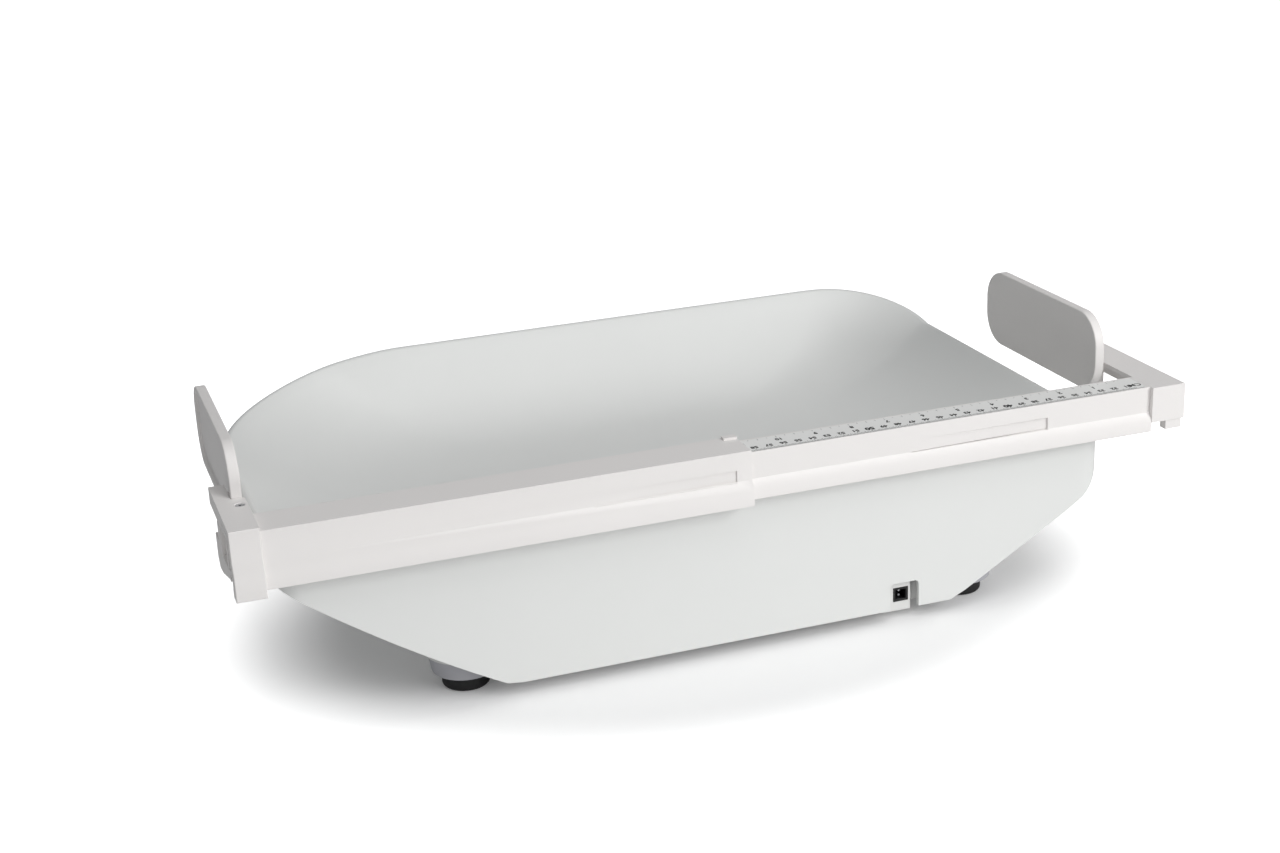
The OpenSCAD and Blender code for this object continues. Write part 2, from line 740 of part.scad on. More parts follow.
// Flat ribbon from the display board down over the floor to the main board
function strip(path, t) = concat(path, [for (i = [len(path) - 1:-1:0]) path[i] + t[i]]);
ribbon_start = face_mid[0] + (dboard_y + board_t) / cos(console_lean)
    + (ribbon_z + ribbon_t - face_mid[1]) * tan(console_lean) + hole_gap;
ribbon_in = console_back + base_wall + 6;
ribbon_low = base_floor + seat_gap;
ribbon_rise = board_at[1] - board_size[1] / 2 - 6;
ribbon_end = board_z + board_t + 0.7;
ribbon_path = [[ribbon_start, ribbon_z], [ribbon_in, ribbon_z], [ribbon_in, ribbon_low],
    [ribbon_rise, ribbon_low], [ribbon_rise, ribbon_end], [plug_y - hole_gap, ribbon_end]];
ribbon_steps = [[0, ribbon_t], [ribbon_t, ribbon_t], [ribbon_t, ribbon_t], [-ribbon_t, ribbon_t],
    [-ribbon_t, ribbon_t], [0, ribbon_t]];
module display_ribbon() {
    color(grey) translate([ribbon_x, 0, 0]) rotate([90, 0, 90]) linear_extrude(ribbon_w)
        polygon(strip(ribbon_path, ribbon_steps));
}

// ---------------------------------------------------------------- measuring rod
rod_front = half_depth + 11;
rod_top = rim_height + seat_gap + rail_plate;
rail_foot = -295;
rail_head = rail_foot + rail_len;
foot_face = -tray_foot_reach - foot_paddle_gap;
head_face = foot_face + reading;
head_block_x = head_face - 1.5;
sleeve_end = head_block_x - sleeve_len;
head_block_w = 18.5;
rail_rear_t = 2.5;
rear_drop = 6;
rail_front_t = 2.5;
guide_from = 8.2;
guide_to = rod_front - half_depth - seat_gap;
guide_drop = 25;
flange_out = 2.9;
bevel_top = 17.7;
bevel_bottom = 23;
strip_from = 1.8;
strip_to = 22;
strip_t = 0.8;
strip_short = 12;
strip_len = rail_len - strip_short;
pocket_len = 100;
pocket_h = 7.8;
pocket_deep = 1.6;
rail_pocket_from = 77.5;
rail_pocket_x = rail_foot + rail_pocket_from;
sleeve_pocket_x = sleeve_end + 10;
sleeve_pocket_deep = pocket_deep - 0.6;
sleeve_rear_t = 3;
sleeve_flange_t = 2.5;
hook_len = 4;
hook_t = 2.6;
paddle_low = lip_height + 3;
paddle_near = 50;
end_plate_t = 4;
end_plate_gap = 0.5;
end_slot = [guide_to + 2.3, 37];
end_plate_top = -rear_drop - end_plate_gap;
end_plate_knee = paddle_near - 1.5;
end_plate_foot = paddle_low - rod_top - 1;
end_plate_rear = paddle_near + 14;
end_plate_chin = [36, 41, 39.5];
end_plate_cut = [6, 19];

// Maps [distance behind the front face, height above the rod top] to Y and Z
function rod(a, h) = [rod_front - a, rod_top + h];

module along_rod(x0, x1) {
    translate([x0, 0, 0]) rotate([90, 0, 90]) linear_extrude(x1 - x0) children();
}

module rod_block(x0, x1, a0, a1, h0, h1) {
    translate([x0, rod_front - a1, rod_top + h0]) cube([x1 - x0, a1 - a0, h1 - h0]);
}

// End plate that closes the rim channel at the head end, cut back under the paddle's way
module end_plate() {
    difference() {
        polygon([rod(guide_to - 1, -guide_drop), rod(guide_to - 1, end_plate_top),
            rod(end_plate_knee, end_plate_top), rod(end_plate_knee, end_plate_foot),
            rod(end_plate_rear, end_plate_foot), rod(end_plate_rear, -end_plate_chin[0]),
            rod(end_plate_rear - end_plate_cut[0], -end_plate_chin[1]),
            rod(end_plate_rear - end_plate_cut[1], -end_plate_chin[2]), rod(guide_to, -guide_drop - 5),
            rod(guide_from - 2, -guide_drop - 5), rod(guide_from - 2, -guide_drop + rail_front_t / 2)]);
        polygon([rod(end_slot[0], -guide_drop), rod(end_slot[0], 0), rod(end_slot[1], 0),
            rod(end_slot[1], -guide_drop)]);
    }
}

module rail() {
    color(white) difference() {
        union() {
            along_rod(rail_foot, rail_head) difference() {
                polygon([rod(0, 0), rod(rail_w, 0), rod(rail_w, -rear_drop),
                    rod(rail_w - rail_rear_t, -rear_drop), rod(rail_w - rail_rear_t, -rail_plate),
                    rod(guide_to, -rail_plate), rod(guide_to, -guide_drop),
                    rod(rail_front_t - flange_out, -guide_drop), rod(rail_front_t - flange_out, -rail_drop),
                    rod(-flange_out, -rail_drop), rod(-flange_out, -bevel_bottom), rod(0, -bevel_top)]);
                polygon([rod(rail_front_t, -rail_plate), rod(guide_from, -rail_plate),
                    rod(guide_from, rail_front_t - guide_drop),
                    rod(rail_front_t, rail_front_t - guide_drop)]);
            }
            along_rod(rail_head - end_plate_t, rail_head) end_plate();
        }
        rod_block(rail_foot + 2, rail_foot + 2 + strip_len, strip_from, strip_to, -strip_t, eps);
        translate([0, 0, rod_top - bevel_top]) linear_extrude(pocket_h)
            polygon([[rail_pocket_x, rod_front + eps], [rail_pocket_x, rod_front - pocket_deep],
                [rail_pocket_x + pocket_len, rod_front + eps]]);
        for (x = [arm_screw_x, arm_screw_x + arm_screw_pitch]) translate([x, rod_front - tongue_mid, 0])
            upright(m3 + clear_gap, rod_top - guide_drop - eps, rod_top - guide_drop + rail_front_t + eps);
    }
}

module ruler_strip() {
    color(grey) rod_block(rail_foot + 2 + hole_gap, rail_foot + 2 + strip_len - hole_gap,
        strip_from + hole_gap, strip_to - hole_gap, -strip_t, 0);
}

// Foot end: cap over the rail's end, tongue inside it, and the arm that carries the paddle
cap_w = 25;
cap_out = 3.5;
cap_drop = 24.5;
tab_at = [2, 14];
arm_reach = 150;
arm_plate = 3;
arm_side_t = 3;
arm_side_drop = 20;
tongue_len = 26;
tongue_gap = 0.2;
tongue_mid = (rail_front_t + guide_from) / 2;
arm_screw_x = rail_foot + 7;
arm_screw_pitch = 11;
arm_screw_len = 10;
cap_x = rail_foot - cap_w;
paddle_pad = [64, 140];
arm_in = rail_foot - 1;
pad_x = arm_in - arm_side_t;
pad_screw_drop = 12;

module foot_arm() {
    color(white) difference() {
        union() {
            rod_block(cap_x, rail_foot, -cap_out, rail_w, -cap_drop, 0);
            rod_block(cap_x + tab_at[0], cap_x + tab_at[1], -flange_out, 4, -rail_drop, -cap_drop + eps);
            rod_block(rail_foot - eps, rail_foot + tongue_len, rail_front_t + tongue_gap,
                guide_from - tongue_gap, -guide_drop + rail_front_t + tongue_gap, -rail_plate - tongue_gap);
            rod_block(cap_x, arm_in, rail_w - eps, arm_reach, -arm_plate, 0);
            rod_block(cap_x, cap_x + arm_side_t, rail_w - eps, arm_reach, -arm_side_drop, 0);
            rod_block(pad_x, foot_face - paddle_t, paddle_pad[0], paddle_pad[1], -arm_side_drop, 0);
        }
        for (x = [arm_screw_x, arm_screw_x + arm_screw_pitch]) translate([x, rod_front - tongue_mid, 0])
            upright(m3 + hole_gap, rod_top - guide_drop,
                rod_top - guide_drop + rail_front_t + arm_screw_len);
        for (a = [paddle_pad[0] + 12, paddle_pad[1] - 12])
            translate([pad_x - eps, rod_front - a, rod_top - pad_screw_drop])
                rotate([0, 90, 0]) cylinder(d = m3 + clear_gap, h = foot_face - paddle_t - pad_x + 1, $fn = 48);
    }
}

module foot_arm_screws() {
    color(steel) {
        for (x = [arm_screw_x, arm_screw_x + arm_screw_pitch])
            translate([x, rod_front - tongue_mid, rod_top - guide_drop]) mirror([0, 0, 1])
                screw(m3, m3_head_d - 0.6, m3_head_t, rail_front_t + arm_screw_len - 2);
        for (a = [paddle_pad[0] + 12, paddle_pad[1] - 12])
            translate([pad_x, rod_front - a, rod_top - pad_screw_drop]) rotate([0, -90, 0])
                screw(m3, m3_head_d, m3_head_t, foot_face - paddle_t - pad_x + 5);
    }
}

// Rounded plate square to the rod, from its inner face outwards
module paddle_plate(x) {
    translate([x, rod_front - paddle_near - paddle_len, paddle_low]) rotate([90, 0, 90])
        linear_extrude(paddle_t) translate([paddle_r, paddle_r])
            offset(r = paddle_r, $fn = 64) square([paddle_len - 2 * paddle_r, paddle_h - 2 * paddle_r]);
}

module foot_paddle() {
    color(white) difference() {
        paddle_plate(foot_face - paddle_t);
        for (a = [paddle_pad[0] + 12, paddle_pad[1] - 12])
            translate([foot_face - paddle_t - eps, rod_front - a, rod_top - pad_screw_drop])
                rotate([0, 90, 0]) cylinder(d = m3 + hole_gap, h = 5.2, $fn = 48);
    }
}

// Sleeve that slides over the rail, open below for the tray's rim
module sleeve() {
    g = slide_gap;
    w = sleeve_wall;
    color(white) difference() {
        union() {
            along_rod(sleeve_end, head_block_x) polygon([
                rod(-g - w, g + w), rod(rail_w + g + sleeve_rear_t, g + w),
                rod(rail_w + g + sleeve_rear_t, -rear_drop), rod(rail_w + g, -rear_drop), rod(rail_w + g, g),
                rod(-g, g), rod(-g, -bevel_top), rod(-flange_out - g, -bevel_bottom),
                rod(-flange_out - g, -rail_drop - g), rod(hook_len - flange_out, -rail_drop - g),
                rod(hook_len - flange_out, -rail_drop - g - hook_t),
                rod(-flange_out - g - sleeve_flange_t, -rail_drop - g - hook_t),
                rod(-flange_out - g - sleeve_flange_t, -bevel_bottom - 0.5), rod(-g - w, -bevel_top + 0.5)]);
            rod_block(sleeve_end, sleeve_end + 9, rail_w - 2, rail_w + g + sleeve_rear_t,
                g + w - eps, g + w + 1.5);
        }
        translate([0, 0, rod_top - bevel_top]) linear_extrude(pocket_h)
            polygon([[sleeve_pocket_x, rod_front + g + w + eps],
                [sleeve_pocket_x, rod_front + g + w - sleeve_pocket_deep],
                [sleeve_pocket_x + pocket_len, rod_front + g + w + eps]]);
    }
}

// Head block: a heavier collar on the sleeve's end with the bracket for the head paddle
block_top = 5;
block_out = 4.3;
block_flange_out = 8.5;
block_drop = 38;
bracket_reach = 77;
bracket_from = rail_w + 8;
block_screw_a = 38;
tab_gap = 0.1;
sink_d = 7;
sink_t = 1.6;

module head_block() {
    g = slide_gap;
    x1 = head_block_x + head_block_w;
    color(white) difference() {
        union() {
            along_rod(head_block_x, x1) polygon([
                rod(-block_out, block_top), rod(bracket_from, block_top), rod(bracket_from, -rear_drop),
                rod(rail_w + g, -rear_drop), rod(rail_w + g, g),
                rod(-g, g), rod(-g, -bevel_top), rod(-flange_out - g, -bevel_bottom),
                rod(-flange_out - g, -rail_drop - g), rod(hook_len - flange_out, -rail_drop - g),
                rod(hook_len - flange_out, -block_drop), rod(-block_flange_out, -block_drop),
                rod(-block_flange_out, 1 - bevel_bottom), rod(-block_out, 2.7 - bevel_top)]);
            rod_block(head_block_x, x1, bracket_from - eps, bracket_reach, -rear_drop, block_top);
        }
        rod_block(head_face - tab_gap, head_face + paddle_t + tab_gap, bracket_from + 1, bracket_reach + 1,
            -rear_drop - 1, block_top - 3);
        rod_block(head_block_x - 1, head_face + paddle_t + tab_gap, paddle_near - tab_gap, bracket_reach + 1,
            -rear_drop - 1, block_top + 1);
        translate([head_face + paddle_t / 2, rod_front - block_screw_a, 0]) {
            upright(m3 + clear_gap, rod_top, rod_top + block_top + eps);
            translate([0, 0, rod_top + block_top - sink_t])
                cylinder(d1 = m3 + clear_gap, d2 = sink_d, h = sink_t + eps, $fn = 48);
        }
    }
}

module head_block_screw() {
    color(steel) translate([head_face + paddle_t / 2, rod_front - block_screw_a, rod_top + block_top - 2.2])
        difference() {
            union() {
                translate([0, 0, 0.6]) cylinder(d1 = m3, d2 = m3 + 3, h = 1.2, $fn = 48);
                translate([0, 0, -8]) cylinder(d = m3, h = 8.7, $fn = 32);
            }
            translate([0, 0, 0.9]) cylinder(d = 2, h = 2, $fn = 6);
        }
}

module head_paddle() {
    color(white) difference() {
        union() {
            paddle_plate(head_face);
            rod_block(head_face, head_face + paddle_t, bracket_from + 1 + seat_gap, paddle_near + paddle_r,
                -rear_drop, block_top - 3 - tab_gap);
        }
        translate([head_face + paddle_t / 2, rod_front - block_screw_a, 0])
            upright(m3 + hole_gap, rod_top - rear_drop - eps, rod_top + block_top);
    }
}

tray_shell();
tray_underframe();
cell_top_spacer();
load_cell();
cell_bottom_spacer();
cell_screws();
chassis_plate();
chassis_screws();
base_housing();
foot_pods();
base_cover();
cover_screws();
foot_collars();
rubber_feet();
power_inlet();
inlet_pins();
main_board();
board_screws();
battery_cells();
battery_contacts();
battery_lid();
console_housing();
console_screws();
display_window();
display_module();
display_board();
display_ribbon();
power_key();
tare_key();
unit_key();
key_switches();
rail();
ruler_strip();
foot_arm();
foot_arm_screws();
foot_paddle();
sleeve();
head_block();
head_block_screw();
head_paddle();
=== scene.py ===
"""Dresses the baby weighing scale and its measuring rod, and lights them as in a small studio."""

import logging
import math
from collections.abc import Callable
from dataclasses import dataclass
from enum import Enum

import bpy
from mathutils import Matrix, Vector


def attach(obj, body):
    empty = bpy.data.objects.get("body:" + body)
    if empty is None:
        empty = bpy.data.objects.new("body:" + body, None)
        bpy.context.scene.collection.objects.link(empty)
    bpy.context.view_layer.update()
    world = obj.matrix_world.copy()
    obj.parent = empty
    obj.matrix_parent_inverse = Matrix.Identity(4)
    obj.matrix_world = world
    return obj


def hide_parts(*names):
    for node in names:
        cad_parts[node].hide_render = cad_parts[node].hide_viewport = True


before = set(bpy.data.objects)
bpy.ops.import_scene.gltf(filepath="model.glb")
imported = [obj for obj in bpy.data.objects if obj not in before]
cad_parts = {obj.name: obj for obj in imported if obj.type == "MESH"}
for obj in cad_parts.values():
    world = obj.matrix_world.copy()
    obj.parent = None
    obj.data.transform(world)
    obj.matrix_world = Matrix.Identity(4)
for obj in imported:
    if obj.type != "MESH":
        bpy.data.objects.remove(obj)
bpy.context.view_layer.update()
log = logging.getLogger("scale")

MM = 0.001
NOISE_BAND = (0.3, 0.7)
SLOW_SCALE, PATCH_SCALE = 9, 70
FINE_SCALE = {"satin": 1500, "brushed": 90, "rubber": 900}
BRUSH_STRETCH = (1, 60, 60)
RELIEF_DEPTH = 0.2 * MM
MERGE_WITHIN = 0.002 * MM
FLAT_WITHIN = 0.6
SHARP_FROM = 35
SHADE_MARGIN = 12
INK_THICK = 0.04

Point = tuple[float, float, float]
Station = tuple[float, float, float, float]


class Body(Enum):
    """The moving bodies of the scale."""

    BASE = "base"
    ROD = "rod"
    SLIDER = "slider"
    POWER = "power_key"
    TARE = "tare_key"
    UNIT = "unit_key"
    LID = "battery_lid"


class Pattern(Enum):
    """How the fine relief of a finish is made."""

    SATIN = "satin"
    BRUSHED = "brushed"
    RUBBER = "rubber"


def linear(code: str) -> Point:
    """Turns a colour code into linear light by the sRGB curve.

    Args:
        code: six hexadecimal digits, red first.

    Returns:
        The three linear channels.
    """
    values = [int(code[i:i + 2], 16) / 255 for i in (0, 2, 4)]
    return tuple(v / 12.92 if v <= 0.04045 else ((v + 0.055) / 1.055) ** 2.4 for v in values)


# ------------------------------------------------------------------ node groups
def new_group(name: str, inputs: dict[str, tuple[str, object]],
              outputs: dict[str, str]) -> bpy.types.NodeTree:
    """Makes an empty shader group with named sockets.

    Args:
        name: the group's name.
        inputs: each input's socket type and default value.
        outputs: each output's socket type.

    Returns:
        The group, with its input and output nodes added.
    """
    group = bpy.data.node_groups.new(name, "ShaderNodeTree")
    for label, (kind, value) in inputs.items():
        socket = group.interface.new_socket(label, in_out="INPUT", socket_type=kind)
        socket.default_value = value
    for label, kind in outputs.items():
        group.interface.new_socket(label, in_out="OUTPUT", socket_type=kind)
    group.nodes.new("NodeGroupInput").name = "In"
    group.nodes.new("NodeGroupOutput").name = "Out"
    return group


def noise(group: bpy.types.NodeTree, vector: bpy.types.NodeSocket, scale: float,
          detail: float) -> bpy.types.Node:
    """Adds a noise texture read at a vector.

    Args:
        group: the group that it goes into.
        vector: where the pattern is read.
        scale: how fine it is.
        detail: how many finer layers it has.

    Returns:
        The noise node.
    """
    node = group.nodes.new("ShaderNodeTexNoise")
    node.inputs["Scale"].default_value = scale
    node.inputs["Detail"].default_value = detail
    group.links.new(vector, node.inputs["Vector"])
    return node


def ranged(group: bpy.types.NodeTree, value: bpy.types.NodeSocket, low: bpy.types.NodeSocket | float,
           high: bpy.types.NodeSocket | float) -> bpy.types.Node:
    """Spreads the middle band of a noise over a new range.

    Args:
        group: the group that the node goes into.
        value: the noise.
        low: what the band's lower end becomes.
        high: what its upper end becomes.

    Returns:
        The map range node.
    """
    node = group.nodes.new("ShaderNodeMapRange")
    node.inputs["From Min"].default_value, node.inputs["From Max"].default_value = NOISE_BAND
    group.links.new(value, node.inputs["Value"])
    for label, source in (("To Min", low), ("To Max", high)):
        if isinstance(source, bpy.types.NodeSocket):
            group.links.new(source, node.inputs[label])
        else:
            node.inputs[label].default_value = source
    return node


def surface_group(pattern: Pattern) -> bpy.types.NodeTree:
    """Builds, once, the group that gives a surface its relief, tone and gloss changes.

    Args:
        pattern: the relief to build.

    Returns:
        The shared group of that pattern.
    """
    name = f"surface_{pattern.value}"
    if name in bpy.data.node_groups:
        return bpy.data.node_groups[name]
    group = new_group(
        name,
        {"Color": ("NodeSocketColor", (1, 1, 1, 1)), "Tone": ("NodeSocketFloat", 0.02),
         "Rough": ("NodeSocketFloat", 0.4), "Rough Change": ("NodeSocketFloat", 0.05)},
        {"Color": "NodeSocketColor", "Roughness": "NodeSocketFloat", "Height": "NodeSocketFloat"})
    source, out = group.nodes["In"], group.nodes["Out"]
    place = group.nodes.new("ShaderNodeTexCoord").outputs["Object"]
    if pattern is Pattern.BRUSHED:
        stretch = group.nodes.new("ShaderNodeMapping")
        stretch.inputs["Scale"].default_value = BRUSH_STRETCH
        group.links.new(place, stretch.inputs["Vector"])
        fine = noise(group, stretch.outputs["Vector"], FINE_SCALE[pattern.value], detail=3)
    else:
        fine = noise(group, place, FINE_SCALE[pattern.value], detail=2)
    slow = noise(group, place, SLOW_SCALE, detail=3)
    patches = noise(group, place, PATCH_SCALE, detail=4)

    minus = group.nodes.new("ShaderNodeMath")
    minus.operation = "SUBTRACT"
    minus.inputs[0].default_value = 1
    group.links.new(source.outputs["Tone"], minus.inputs[1])
    shade = ranged(group, slow.outputs["Fac"], minus.outputs[0], 1.0)
    mix = group.nodes.new("ShaderNodeMix")
    mix.data_type = "RGBA"
    mix.blend_type = "MULTIPLY"
    mix.inputs["Factor"].default_value = 1
    group.links.new(source.outputs["Color"], mix.inputs["A"])
    group.links.new(shade.outputs["Result"], mix.inputs["B"])
    group.links.new(mix.outputs["Result"], out.inputs["Color"])

    top = group.nodes.new("ShaderNodeMath")
    group.links.new(source.outputs["Rough"], top.inputs[0])
    group.links.new(source.outputs["Rough Change"], top.inputs[1])
    gloss = ranged(group, patches.outputs["Fac"], source.outputs["Rough"], top.outputs[0])
    group.links.new(gloss.outputs["Result"], out.inputs["Roughness"])
    group.links.new(fine.outputs["Fac"], out.inputs["Height"])
    return group


@dataclass(frozen=True)
class Finish:
    """One finish of the scale: its colour, gloss and relief."""

    name: str
    code: str
    rough: float
    pattern: Pattern = Pattern.SATIN
    relief: float = 0.04
    tone: float = 0.03
    rough_change: float = 0.06
    metallic: float = 0.0
    coat: float = 0.0
    transmission: float = 0.0

    def material(self) -> bpy.types.Material:
        """Builds the material once and hands it out again afterwards.

        Returns:
            The material of this finish.
        """
        label = f"{self.name}_finish"
        if label in bpy.data.materials:
            return bpy.data.materials[label]
        material = bpy.data.materials.new(label)
        material.use_nodes = True
        nodes, links = material.node_tree.nodes, material.node_tree.links
        shader = nodes["Principled BSDF"]
        surface = nodes.new("ShaderNodeGroup")
        surface.node_tree = surface_group(self.pattern)
        surface.inputs["Color"].default_value = (*linear(self.code), 1)
        surface.inputs["Tone"].default_value = self.tone
        surface.inputs["Rough"].default_value = self.rough
        surface.inputs["Rough Change"].default_value = self.rough_change
        bump = nodes.new("ShaderNodeBump")
        bump.inputs["Strength"].default_value = self.relief
        bump.inputs["Distance"].default_value = RELIEF_DEPTH
        links.new(surface.outputs["Color"], shader.inputs["Base Color"])
        links.new(surface.outputs["Roughness"], shader.inputs["Roughness"])
        links.new(surface.outputs["Height"], bump.inputs["Height"])
        links.new(bump.outputs["Normal"], shader.inputs["Normal"])
        shader.inputs["Metallic"].default_value = self.metallic
        shader.inputs["Coat Weight"].default_value = self.coat
        shader.inputs["Transmission Weight"].default_value = self.transmission
        return material


SHELL = Finish("shell_white", "e6e7e5", 0.42, tone=0.015)
ROD = Finish("rod_white", "ebe8e6", 0.45, tone=0.02)
HOUSING = Finish("console_white", "e2e2e0", 0.48, tone=0.02)
# grey read off the collars where they sit in shade under the skirt, so this colour holds painted shade
SHADED_COLLAR = Finish("collar_grey", "b5b5ba", 0.5)
RUBBER = Finish("foot_rubber", "141415", 0.55, Pattern.RUBBER, relief=0.25, tone=0.2)
SOCKET = Finish("socket_black", "131313", 0.4, relief=0.1, tone=0.1)
STEEL = Finish("screw_steel", "b4b6b9", 0.28, Pattern.BRUSHED, relief=0.1, metallic=1.0)
PLATE = Finish("plate_steel", "bcbec0", 0.34, Pattern.BRUSHED, relief=0.15, metallic=1.0)
ALUMINIUM = Finish("cell_aluminium", "cfd1d4", 0.3, Pattern.BRUSHED, relief=0.12, metallic=1.0)
BRASS = Finish("contact_brass", "d8c48a", 0.3, Pattern.BRUSHED, relief=0.08, metallic=1.0)
BOARD = Finish("board_green", "1f5a3a", 0.35, coat=0.3, tone=0.12)
RIBBON = Finish("ribbon_grey", "bdbdbd", 0.5, Pattern.BRUSHED, relief=0.3)
STRIP = Finish("ruler_grey", "f2f2f0", 0.38, tone=0.02)
# ink for print; on the ruler it also paints the shadow line along the strip's front edge
INK_AND_PAINTED_SHADOW = Finish("ruler_ink_and_painted_shadow", "0c0c0c", 0.6, tone=0.1)
KEY = Finish("key_grey", "a3a6aa", 0.45)
PANE = Finish("window_tint", "f2f5f5", 0.06, relief=0.0, rough_change=0.01, transmission=1.0)
MASK = Finish("window_mask", "2b2f33", 0.25, tone=0.05)
GLASS = Finish("lcd_grey", "93a08f", 0.2, coat=0.5, tone=0.04)
WRAP = Finish("cell_wrap", "b08a3c", 0.3, coat=0.4, tone=0.1)

CAD_FINISH = {
    SHELL: ("tray_underframe",),
    PLATE: ("cell_top_spacer", "cell_bottom_spacer", "chassis_plate"),
    ALUMINIUM: ("load_cell",),
    STEEL: ("cell_screws", "chassis_screws", "cover_screws", "board_screws", "console_screws",
            "foot_arm_screws", "head_block_screw", "inlet_pins"),
    HOUSING: ("base_housing", "foot_pods", "base_cover"),
    BOARD: ("main_board", "display_board"),
    WRAP: ("battery_cells",),
    BRASS: ("battery_contacts",),
    RIBBON: ("display_ribbon",),
    SOCKET: ("key_switches",),
    GLASS: ("display_module",),
    STRIP: ("ruler_strip",),
}


# ------------------------------------------------------------------ modelling by hand
def only(piece: bpy.types.Object) -> None:
    """Deselects everything, then selects one piece and makes it active.

    Args:
        piece: the piece to work on.
    """
    bpy.ops.object.select_all(action="DESELECT")
    piece.select_set(True)
    bpy.context.view_layer.objects.active = piece


def settle(piece: bpy.types.Object) -> bpy.types.Object:
    """Puts a piece's place, turn and size into its mesh.

    Args:
        piece: the piece to settle.

    Returns:
        The same piece.
    """
    only(piece)
    bpy.ops.object.transform_apply(location=True, rotation=True, scale=True)
    return piece


def apply_modifier(piece: bpy.types.Object, kind: str, **settings: object) -> None:
    """Adds one modifier with the given settings and applies it.

    Args:
        piece: the object to change.
        kind: the modifier's type.
        **settings: its values.
    """
    only(piece)
    modifier = piece.modifiers.new(kind.lower(), kind)
    for label, value in settings.items():
        setattr(modifier, label, value)
    bpy.ops.object.modifier_apply(modifier=modifier.name)


def smooth(piece: bpy.types.Object, degrees: float) -> None:
    """Shades a piece smooth where its faces meet at less than an angle."""
    only(piece)
    bpy.ops.object.shade_smooth_by_angle(angle=math.radians(degrees))


def even_shading(piece: bpy.types.Object, degrees: float) -> None:
    """Shades a piece smooth and keeps its flat faces looking flat."""
    smooth(piece, degrees)
    apply_modifier(piece, "WEIGHTED_NORMAL", keep_sharp=True)


def soften(piece: bpy.types.Object, width: float, segments: int = 3, degrees: float = 30) -> None:
    """Rounds a piece's sharp edges and smooths its shading.

    Args:
        piece: the object to change.
        width: the radius of the rounding, in metres.
        segments: steps across the rounding.
        degrees: edges sharper than this are rounded.
    """
    apply_modifier(piece, "BEVEL", width=width, segments=segments, limit_method="ANGLE",
                   angle_limit=math.radians(degrees), harden_normals=False, use_clamp_overlap=True)
    even_shading(piece, degrees + SHADE_MARGIN)


def round_edges(piece: bpy.types.Object, width: float, where: Callable[[Vector], bool],
                steps: int = 4) -> None:
    """Rounds the sharp edges whose middle passes a test.

    Args:
        piece: the object to change.
        width: the rounding's radius, in millimetres.
        where: takes an edge's middle, in millimetres.
        steps: steps across the rounding.
    """
    only(piece)
    bpy.ops.object.mode_set(mode="EDIT")
    bpy.ops.mesh.select_mode(type="EDGE")
    bpy.ops.mesh.select_all(action="DESELECT")
    bpy.ops.mesh.edges_select_sharp(sharpness=math.radians(SHARP_FROM))
    bpy.ops.object.mode_set(mode="OBJECT")
    points = piece.data.vertices
    for edge in piece.data.edges:
        middle = (points[edge.vertices[0]].co + points[edge.vertices[1]].co) / 2 / MM
        edge.select = edge.select and where(middle)
    bpy.ops.object.mode_set(mode="EDIT")
    bpy.ops.mesh.bevel(offset=width * MM, segments=steps, affect="EDGES", clamp_overlap=True)
    bpy.ops.mesh.select_mode(type="VERT")
    bpy.ops.object.mode_set(mode="OBJECT")


def join(pieces: list[bpy.types.Object], name: str) -> bpy.types.Object:
    """Joins pieces into the first one.

    Args:
        pieces: what is joined.
        name: the name of the result.

    Returns:
        The joined piece.
    """
    bpy.ops.object.select_all(action="DESELECT")
    for piece in pieces:
        piece.select_set(True)
    bpy.context.view_layer.objects.active = pieces[0]
    if len(pieces) > 1:
        bpy.ops.object.join()
    pieces[0].name = name
    return pieces[0]


def block(low: Point, high: Point, name: str) -> bpy.types.Object:
    """Adds a box between two corners, with its place in its mesh.

    Args:
        low: the corner with the lowest values, in metres.
        high: the opposite corner.
        name: the piece's name.

    Returns:
        The box.
    """
    bpy.ops.object.select_all(action="DESELECT")
    middle = [(a + b) / 2 for a, b in zip(low, high)]
    bpy.ops.mesh.primitive_cube_add(size=1, location=middle)
    piece = bpy.context.object
    piece.scale = [b - a for a, b in zip(low, high)]
    piece.name = name
    return settle(piece)


def cut(piece: bpy.types.Object, cutter: bpy.types.Object) -> None:
    """Cuts one piece with another and throws the cutter away."""
    apply_modifier(piece, "BOOLEAN", operation="DIFFERENCE", object=cutter, solver="EXACT")
    bpy.data.objects.remove(cutter, do_unlink=True)


def node_copy(node: str, name: str) -> bpy.types.Object:
    """Copies a CAD node's mesh into a new piece with its faces joined up.

    Args:
        node: the CAD node to copy.
        name: the new piece's name.

    Returns:
        The new piece, clean enough to round.
    """
    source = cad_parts[node]
    piece = bpy.data.objects.new(name, source.data.copy())
    bpy.context.scene.collection.objects.link(piece)
    piece.data.materials.clear()
    only(piece)
    bpy.ops.object.mode_set(mode="EDIT")
    bpy.ops.mesh.select_all(action="SELECT")
    bpy.ops.mesh.remove_doubles(threshold=MERGE_WITHIN)
    bpy.ops.mesh.dissolve_limited(angle_limit=math.radians(FLAT_WITHIN))
    bpy.ops.mesh.normals_make_consistent(inside=False)
    bpy.ops.object.mode_set(mode="OBJECT")
    return piece


def dress(piece: bpy.types.Object, finish: Finish, body: Body, slot: str, *nodes: str) -> bpy.types.Object:
    """Gives a piece its finish and its body, and hides the nodes that it stands for.

    Args:
        piece: the finished piece.
        finish: its finish.
        body: the body that it moves with.
        slot: the name of a material slot; not used.
        *nodes: CAD nodes that it replaces.

    Returns:
        The piece.
    """
    piece.data.materials.clear()
    piece.data.materials.append(finish.material())
    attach(piece, body.value)
    if nodes:
        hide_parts(*nodes)
    log.info("%s: %d faces, rides on %s", piece.name, len(piece.data.polygons), body.value)
    return piece


